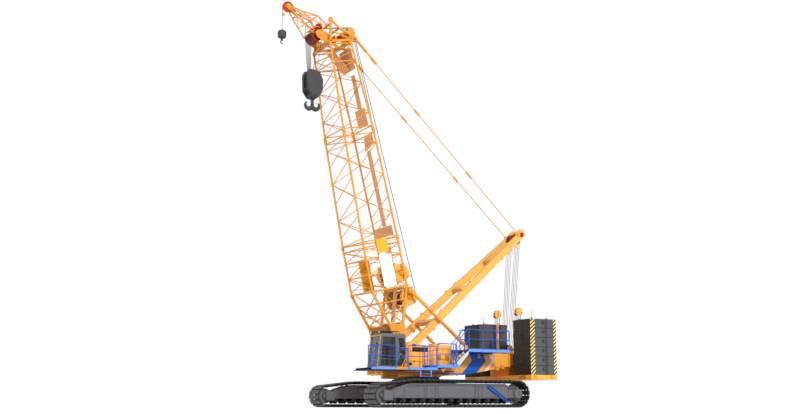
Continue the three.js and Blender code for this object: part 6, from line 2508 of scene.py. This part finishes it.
def cushion(name: str, low: Vector, high: Vector, crown: float, across: int, seams: int) -> Object:
    """Models a padded cushion: crowned, drawn in between its corners, with sewn channels.

    Args:
        name: The piece's name.
        low: The lowest corner of the room that it fills.
        high: The highest corner.
        crown: How far its face stands proud at the middle.
        across: The axis that the face looks along, 0 for forward and 2 for up.
        seams: How many sewn channels cross it.

    Returns:
        The cushion, which still has to be dressed.
    """
    form = Form(name)
    form.box(low, high)
    bpy.ops.mesh.subdivide(number_cuts=11)
    piece = form.solid(60)
    middle, half = (low + high) / 2, (high - low) / 2
    along = 2 - across
    for vertex in piece.data.vertices:
        share = Vector([(vertex.co[k] - middle[k]) / half[k] for k in range(3)])
        flat = (1 - share[1] ** 2) * (1 - share[along] ** 2)
        depth = 1 - (1 - flat) ** 2
        vertex.co[across] -= share[across] * crown * (1 - depth)
        vertex.co.y -= share.y * 0.018 * (1 - share[along] ** 2)
        vertex.co[along] -= share[along] * 0.012 * (1 - share.y ** 2)
        for index in range(seams):
            away = share[along] - mix(-0.45, 0.45, index / max(1, seams - 1))
            vertex.co[across] -= share[across] * 0.012 * math.exp(-((away / 0.05) ** 2))
    rounding = piece.modifiers.new("rounding", "SUBSURF")
    rounding.levels = rounding.render_levels = 1
    pick(piece)
    bpy.ops.object.modifier_apply(modifier=rounding.name)
    return piece


@dataclass
class Cab:
    """The operator's cab with its glass, door, guards and seat."""

    outer: float = 2.86
    inner: float = 1.75
    floor: float = 1.95
    roof: float = 3.67

    def build(self) -> None:
        """Builds the cab from the shell outwards."""
        skinned("cab_shell", "cab_body", 0.022, UPPER, CAB_GREY, 3)
        for node in ("cab_side_glass", "cab_right_glass", "cab_rear_glass", "cab_windscreen"):
            for slot in frame["nodes"][node].material_slots:
                slot.material = GLASS.material()
        self.side_panes()
        self.door()
        self.yellow_trim()
        self.fittings()
        self.inside()
        self.seat()

    def side_panes(self) -> None:
        """The dark panes behind the door, on both sides of the bent pillar."""
        form = Form("cab_side_panes")
        for outline in ([(2.36, 3.34), (2.42, 3.46), (2.71, 3.46), (2.6, 2.72), (2.33, 2.62)],
                        [(2.33, 2.5), (2.6, 2.6), (2.79, 2.12), (2.55, 2.06)]):
            form.plate(outline, self.outer, self.outer + 0.005)
        form.done(UPPER, DARK_GLASS)

    def door(self) -> None:
        """The sliding door: a slim frame round one tall dark pane, with its handle."""
        low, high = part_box("cab_door")
        y0, y1 = low.y + 0.002, high.y
        corners = [(2.86, 2.03), (3.79, 2.03), (3.64, 3.54), (2.86, 3.54)]
        frame_form = Form("cab_door_frame")
        for (x0, z0), (x1, z1) in zip(corners, corners[1:] + corners[:1]):
            inward = 0.022
            centre = Vector((3.28, 0, 2.8))
            ends = [at(x + math.copysign(inward, centre.x - x), (y0 + y1) / 2,
                       z + math.copysign(inward, centre.z - z)) for x, z in ((x0, z0), (x1, z1))]
            way = (ends[1] - ends[0]).normalized() * inward
            frame_form.beam(ends[0] - way, ends[1] + way, y1 - y0, 0.044, 0.008)
        frame_form.box(at(2.88, y0 + 0.004, 2.38), at(3.76, y1 - 0.006, 2.41), 0.004)
        frame_form.done("cab_door", CAB_GREY, ["cab_door"])
        pane = Form("cab_door_pane")
        pane.plate([(2.9, 2.07), (3.742, 2.07), (3.602, 3.5), (2.9, 3.5)], y0 + 0.01, y0 + 0.018)
        pane.done("cab_door", DARK_GLASS, ["cab_door_glass"])
        handle = Form("cab_door_handle")
        handle.route(eased([at(3.6, y1 - 0.004, 2.5), at(3.6, y1 + 0.05, 2.53),
                            at(3.58, y1 + 0.05, 2.87), at(3.58, y1 - 0.004, 2.9)], 0.02), 0.011, 8)
        handle.done("cab_door", DARK)

    def yellow_trim(self) -> None:
        """The painted front pillars, the sill and the rear corner."""
        form = Form("cab_yellow_trim")
        for y in (self.outer - 0.035, self.inner + 0.02):
            form.beam(at(3.895, y, 1.97), at(3.715, y, 3.58), 0.045, 0.045, 0.01)
        form.beam(at(3.725, self.inner, 3.56), at(3.725, self.outer, 3.56), 0.07, 0.09, 0.012, UP)
        form.box(at(2.32, self.outer - 0.01, 1.956), at(3.88, self.outer + 0.03, 2.02), 0.008)
        form.plate([(2.315, 2.5), (2.315, 2.34), (2.53, 1.965), (2.62, 1.965), (2.5, 2.12)],
                   self.outer - 0.004, self.outer + 0.0045)
        form.box(at(2.3, self.outer - 0.5, 1.956), at(2.52, self.outer - 0.002, 2.04), 0.01)
        form.done(UPPER, BOOM_PAINT)

    def fittings(self) -> None:
        """The roof guard, the wiper, the mirror, the grab rails and the work lamps."""
        form = Form("cab_roof_guard")
        top = self.roof + 0.11
        for y in (1.86, 2.1, 2.5, 2.76):
            form.route(eased([at(2.62, y, self.roof - 0.01), at(2.66, y, top), at(3.7, y, top),
                              at(3.76, y, self.roof - 0.03)], 0.04), 0.015, 8)
        for x in (2.68, 3.02, 3.36, 3.68):
            form.tube(at(x, 1.86, top), at(x, 2.76, top), 0.013, 8)
        form.box(at(3.0, 2.0, self.roof - 0.01), at(3.3, 2.4, self.roof + 0.05), 0.02)
        form.route([at(3.83, 2.5, 2.4), at(3.79, 2.42, 2.95), at(3.775, 2.2, 3.1)], 0.01, 6)
        form.beam(at(3.83, 2.28, 2.72), at(3.765, 2.16, 3.35), 0.02, 0.012, 0.002)
        form.route(eased([at(3.8, self.outer - 0.04, 3.3), at(3.98, self.outer + 0.03, 3.34),
                          at(3.98, self.outer + 0.03, 3.0)], 0.04), 0.012, 8)
        form.box(at(3.955, self.outer - 0.05, 2.92), at(3.985, self.outer + 0.11, 3.2), 0.012)
        for y in (1.84, 2.72):
            form.turned(at(3.72, y, self.roof + 0.06), Vector((1, 0, 0)),
                        [(-0.06, 0.03), (-0.05, 0.06), (0.02, 0.075), (0.035, 0.07)], 18)
            form.tube(at(3.68, y, self.roof - 0.02), at(3.68, y, self.roof + 0.04), 0.014, 8)
        form.done(UPPER, DARK)
        lens = Form("cab_lamp_lenses")
        for y in (1.84, 2.72):
            lens.turned(at(3.756, y, self.roof + 0.06), Vector((1, 0, 0)),
                        [(-0.002, 0.062), (0.004, 0.058), (0.008, 0.03)], 18)
        lens.done(UPPER, LENS)
        rails = Form("cab_grab_rails")
        for x, y in ((3.98, self.outer - 0.02), (2.24, self.outer - 0.1)):
            rails.route(eased([at(x - math.copysign(0.08, x - 3), y, 2.2), at(x, y, 2.24),
                               at(x - 0.08 * (x > 3), y, 3.0), at(x - math.copysign(0.16, x - 3), y,
                                                                3.04)], 0.03), 0.013, 8)
        rails.done(UPPER, BLUE)

    def inside(self) -> None:
        """The seat's base, the consoles, the levers and the pedals."""
        form = Form("cab_consoles")
        form.box(at(2.74, 2.14, 2.012), at(3.1, 2.47, 2.2), 0.02)
        form.box(at(2.7, 2.1, 2.2), at(3.13, 2.51, 2.26), 0.015)
        form.beam(at(2.68, 2.3, 2.24), at(2.66, 2.3, 2.6), 0.3, 0.05, 0.01)
        for y in (1.96, 2.62):
            form.box(at(2.85, y - 0.07, 2.012), at(3.4, y + 0.07, 2.5), 0.03)
            form.tube(at(3.25, y, 2.49), at(3.29, y, 2.68), 0.012, 8)
            form.turned(at(3.29, y, 2.66), UP,
                        [(0, 0.014), (0.02, 0.026), (0.09, 0.028), (0.11, 0.015)],
                        12)
        form.box(at(3.58, 1.86, 2.4), at(3.68, 2.06, 2.85), 0.02)
        form.tube(at(3.62, 1.96, 2.012), at(3.62, 1.96, 2.42), 0.025, 10)
        for y in (2.18, 2.3, 2.42):
            form.beam(at(3.5, y, 2.03), at(3.62, y, 2.16), 0.07, 0.016, 0.004)
        form.done(UPPER, DARK)

    def seat(self) -> None:
        """The padded seat: its cushion and its back."""
        base = cushion("seat_cushion", at(2.73, 2.085, 2.262), at(3.148, 2.525, 2.428), 0.045, 2, 2)
        settle(base, UPPER, SEAT_CLOTH, ["cab_seat"])
        back = cushion("seat_back", at(2.642, 2.09, 2.44), at(2.79, 2.52, 3.095), 0.04, 0, 3)
        settle(back, UPPER, SEAT_CLOTH)


# --------------------------------------------------------------------------------------------
# Studio
# --------------------------------------------------------------------------------------------


@dataclass
class Studio:
    """The floor, the light and the camera."""

    swing: float = 28.79  # degrees from the crane's left side towards its front
    distance: float = 58.11
    sideways: float = -1.057
    height: float = 0.159
    pitch: float = 10.46
    roll: float = 0.049
    lens: float = 48.4
    sun: float = 2.1
    sky: float = 0.56

    def build(self) -> None:
        """Builds everything that isn't the crane."""
        self.camera()
        self.lamps()
        self.world()
        self.floor()
        bpy.context.scene.view_settings.view_transform = "Standard"

    def camera(self) -> None:
        """The camera, low down at the crane's front left."""
        swing, pitch = math.radians(self.swing), math.radians(self.pitch)
        away = Vector((math.sin(swing), math.cos(swing), 0))
        right = Vector((-math.cos(swing), math.sin(swing), 0))
        back = away * math.cos(pitch) - Vector((0, 0, math.sin(pitch)))
        turn = Matrix((right, back.cross(right), back)).transposed()
        turn = turn @ Matrix.Rotation(math.radians(self.roll), 3, "Z")
        lens = bpy.data.cameras.new("camera")
        lens.lens = self.lens
        lens.sensor_width = 36.0
        lens.clip_end = 400.0
        camera = bpy.data.objects.new("camera", lens)
        place = away * self.distance + right * self.sideways + Vector((SLEW_X, 0, self.height))
        camera.matrix_world = Matrix.Translation(place) @ turn.to_4x4()
        bpy.context.scene.collection.objects.link(camera)
        bpy.context.scene.camera = camera

    def lamps(self) -> None:
        """A soft sun from the left and a weak one from the front."""
        for name, energy, spread, way in (("sun", self.sun, 6.0, Vector((0.1, 0.95, 0.36))),
                                          ("fill", 0.3, 40.0, Vector((0.8, 0.3, 0.5)))):
            lamp = bpy.data.lights.new(name, "SUN")
            lamp.energy = energy
            lamp.angle = math.radians(spread)
            holder = bpy.data.objects.new(name, lamp)
            holder.rotation_euler = way.to_track_quat("Z", "Y").to_euler()
            holder.location = way * 60
            bpy.context.scene.collection.objects.link(holder)

    def world(self) -> None:
        """Even light from all round, white where the camera, gloss or glass looks at it."""
        world = bpy.data.worlds.new("world")
        bpy.context.scene.world = world
        world.use_nodes = True
        nodes, links = world.node_tree.nodes, world.node_tree.links
        path = nodes.new("ShaderNodeLightPath")
        light = nodes["Background"]
        light.inputs["Color"].default_value = (0.96, 0.98, 1.0, 1.0)
        light.inputs["Strength"].default_value = self.sky
        white = nodes.new("ShaderNodeBackground")
        white.inputs["Color"].default_value = (1.0, 1.0, 1.0, 1.0)
        seen = nodes.new("ShaderNodeMath")
        seen.operation = "MAXIMUM"
        links.new(path.outputs["Is Camera Ray"], seen.inputs[0])
        clear = nodes.new("ShaderNodeMath")
        clear.operation = "MAXIMUM"
        links.new(path.outputs["Is Glossy Ray"], clear.inputs[0])
        links.new(path.outputs["Is Transmission Ray"], clear.inputs[1])
        links.new(clear.outputs[0], seen.inputs[1])
        mixed = nodes.new("ShaderNodeMixShader")
        links.new(seen.outputs[0], mixed.inputs[0])
        links.new(light.outputs[0], mixed.inputs[1])
        links.new(white.outputs[0], mixed.inputs[2])
        links.new(mixed.outputs[0], nodes["World Output"].inputs["Surface"])

    def floor(self) -> None:
        """A plain pale floor, wide enough to meet the background."""
        form = Form("floor")
        form.disc(Vector((0, 0, -0.002)), UP, 260.0, 64)
        form.push(Vector((0, 0, -0.2)))
        floor = form.solid()
        graph = Graph("pale floor")
        graph.set(Base_Color=(0.97, 0.97, 0.97), Roughness=0.9, Specular_IOR_Level=0.1,
                  Emission_Color=(1.0, 1.0, 1.0), Emission_Strength=0.24)
        floor.data.materials.append(graph.material)


def main() -> None:
    """Builds the crane, part by part, and the studio round it."""
    logging.basicConfig(level=logging.INFO, format="%(name)s: %(message)s")
    Studio().build()
    for side in Side:
        Track(side).build()
    for part in (Carbody(), Turntable(), Decks(), Housings(), Counterweight(), Boom(), Mast(),
                 Ropes(), Hooks(), Cab()):
        part.build()


if __name__ == "__main__":
    main()
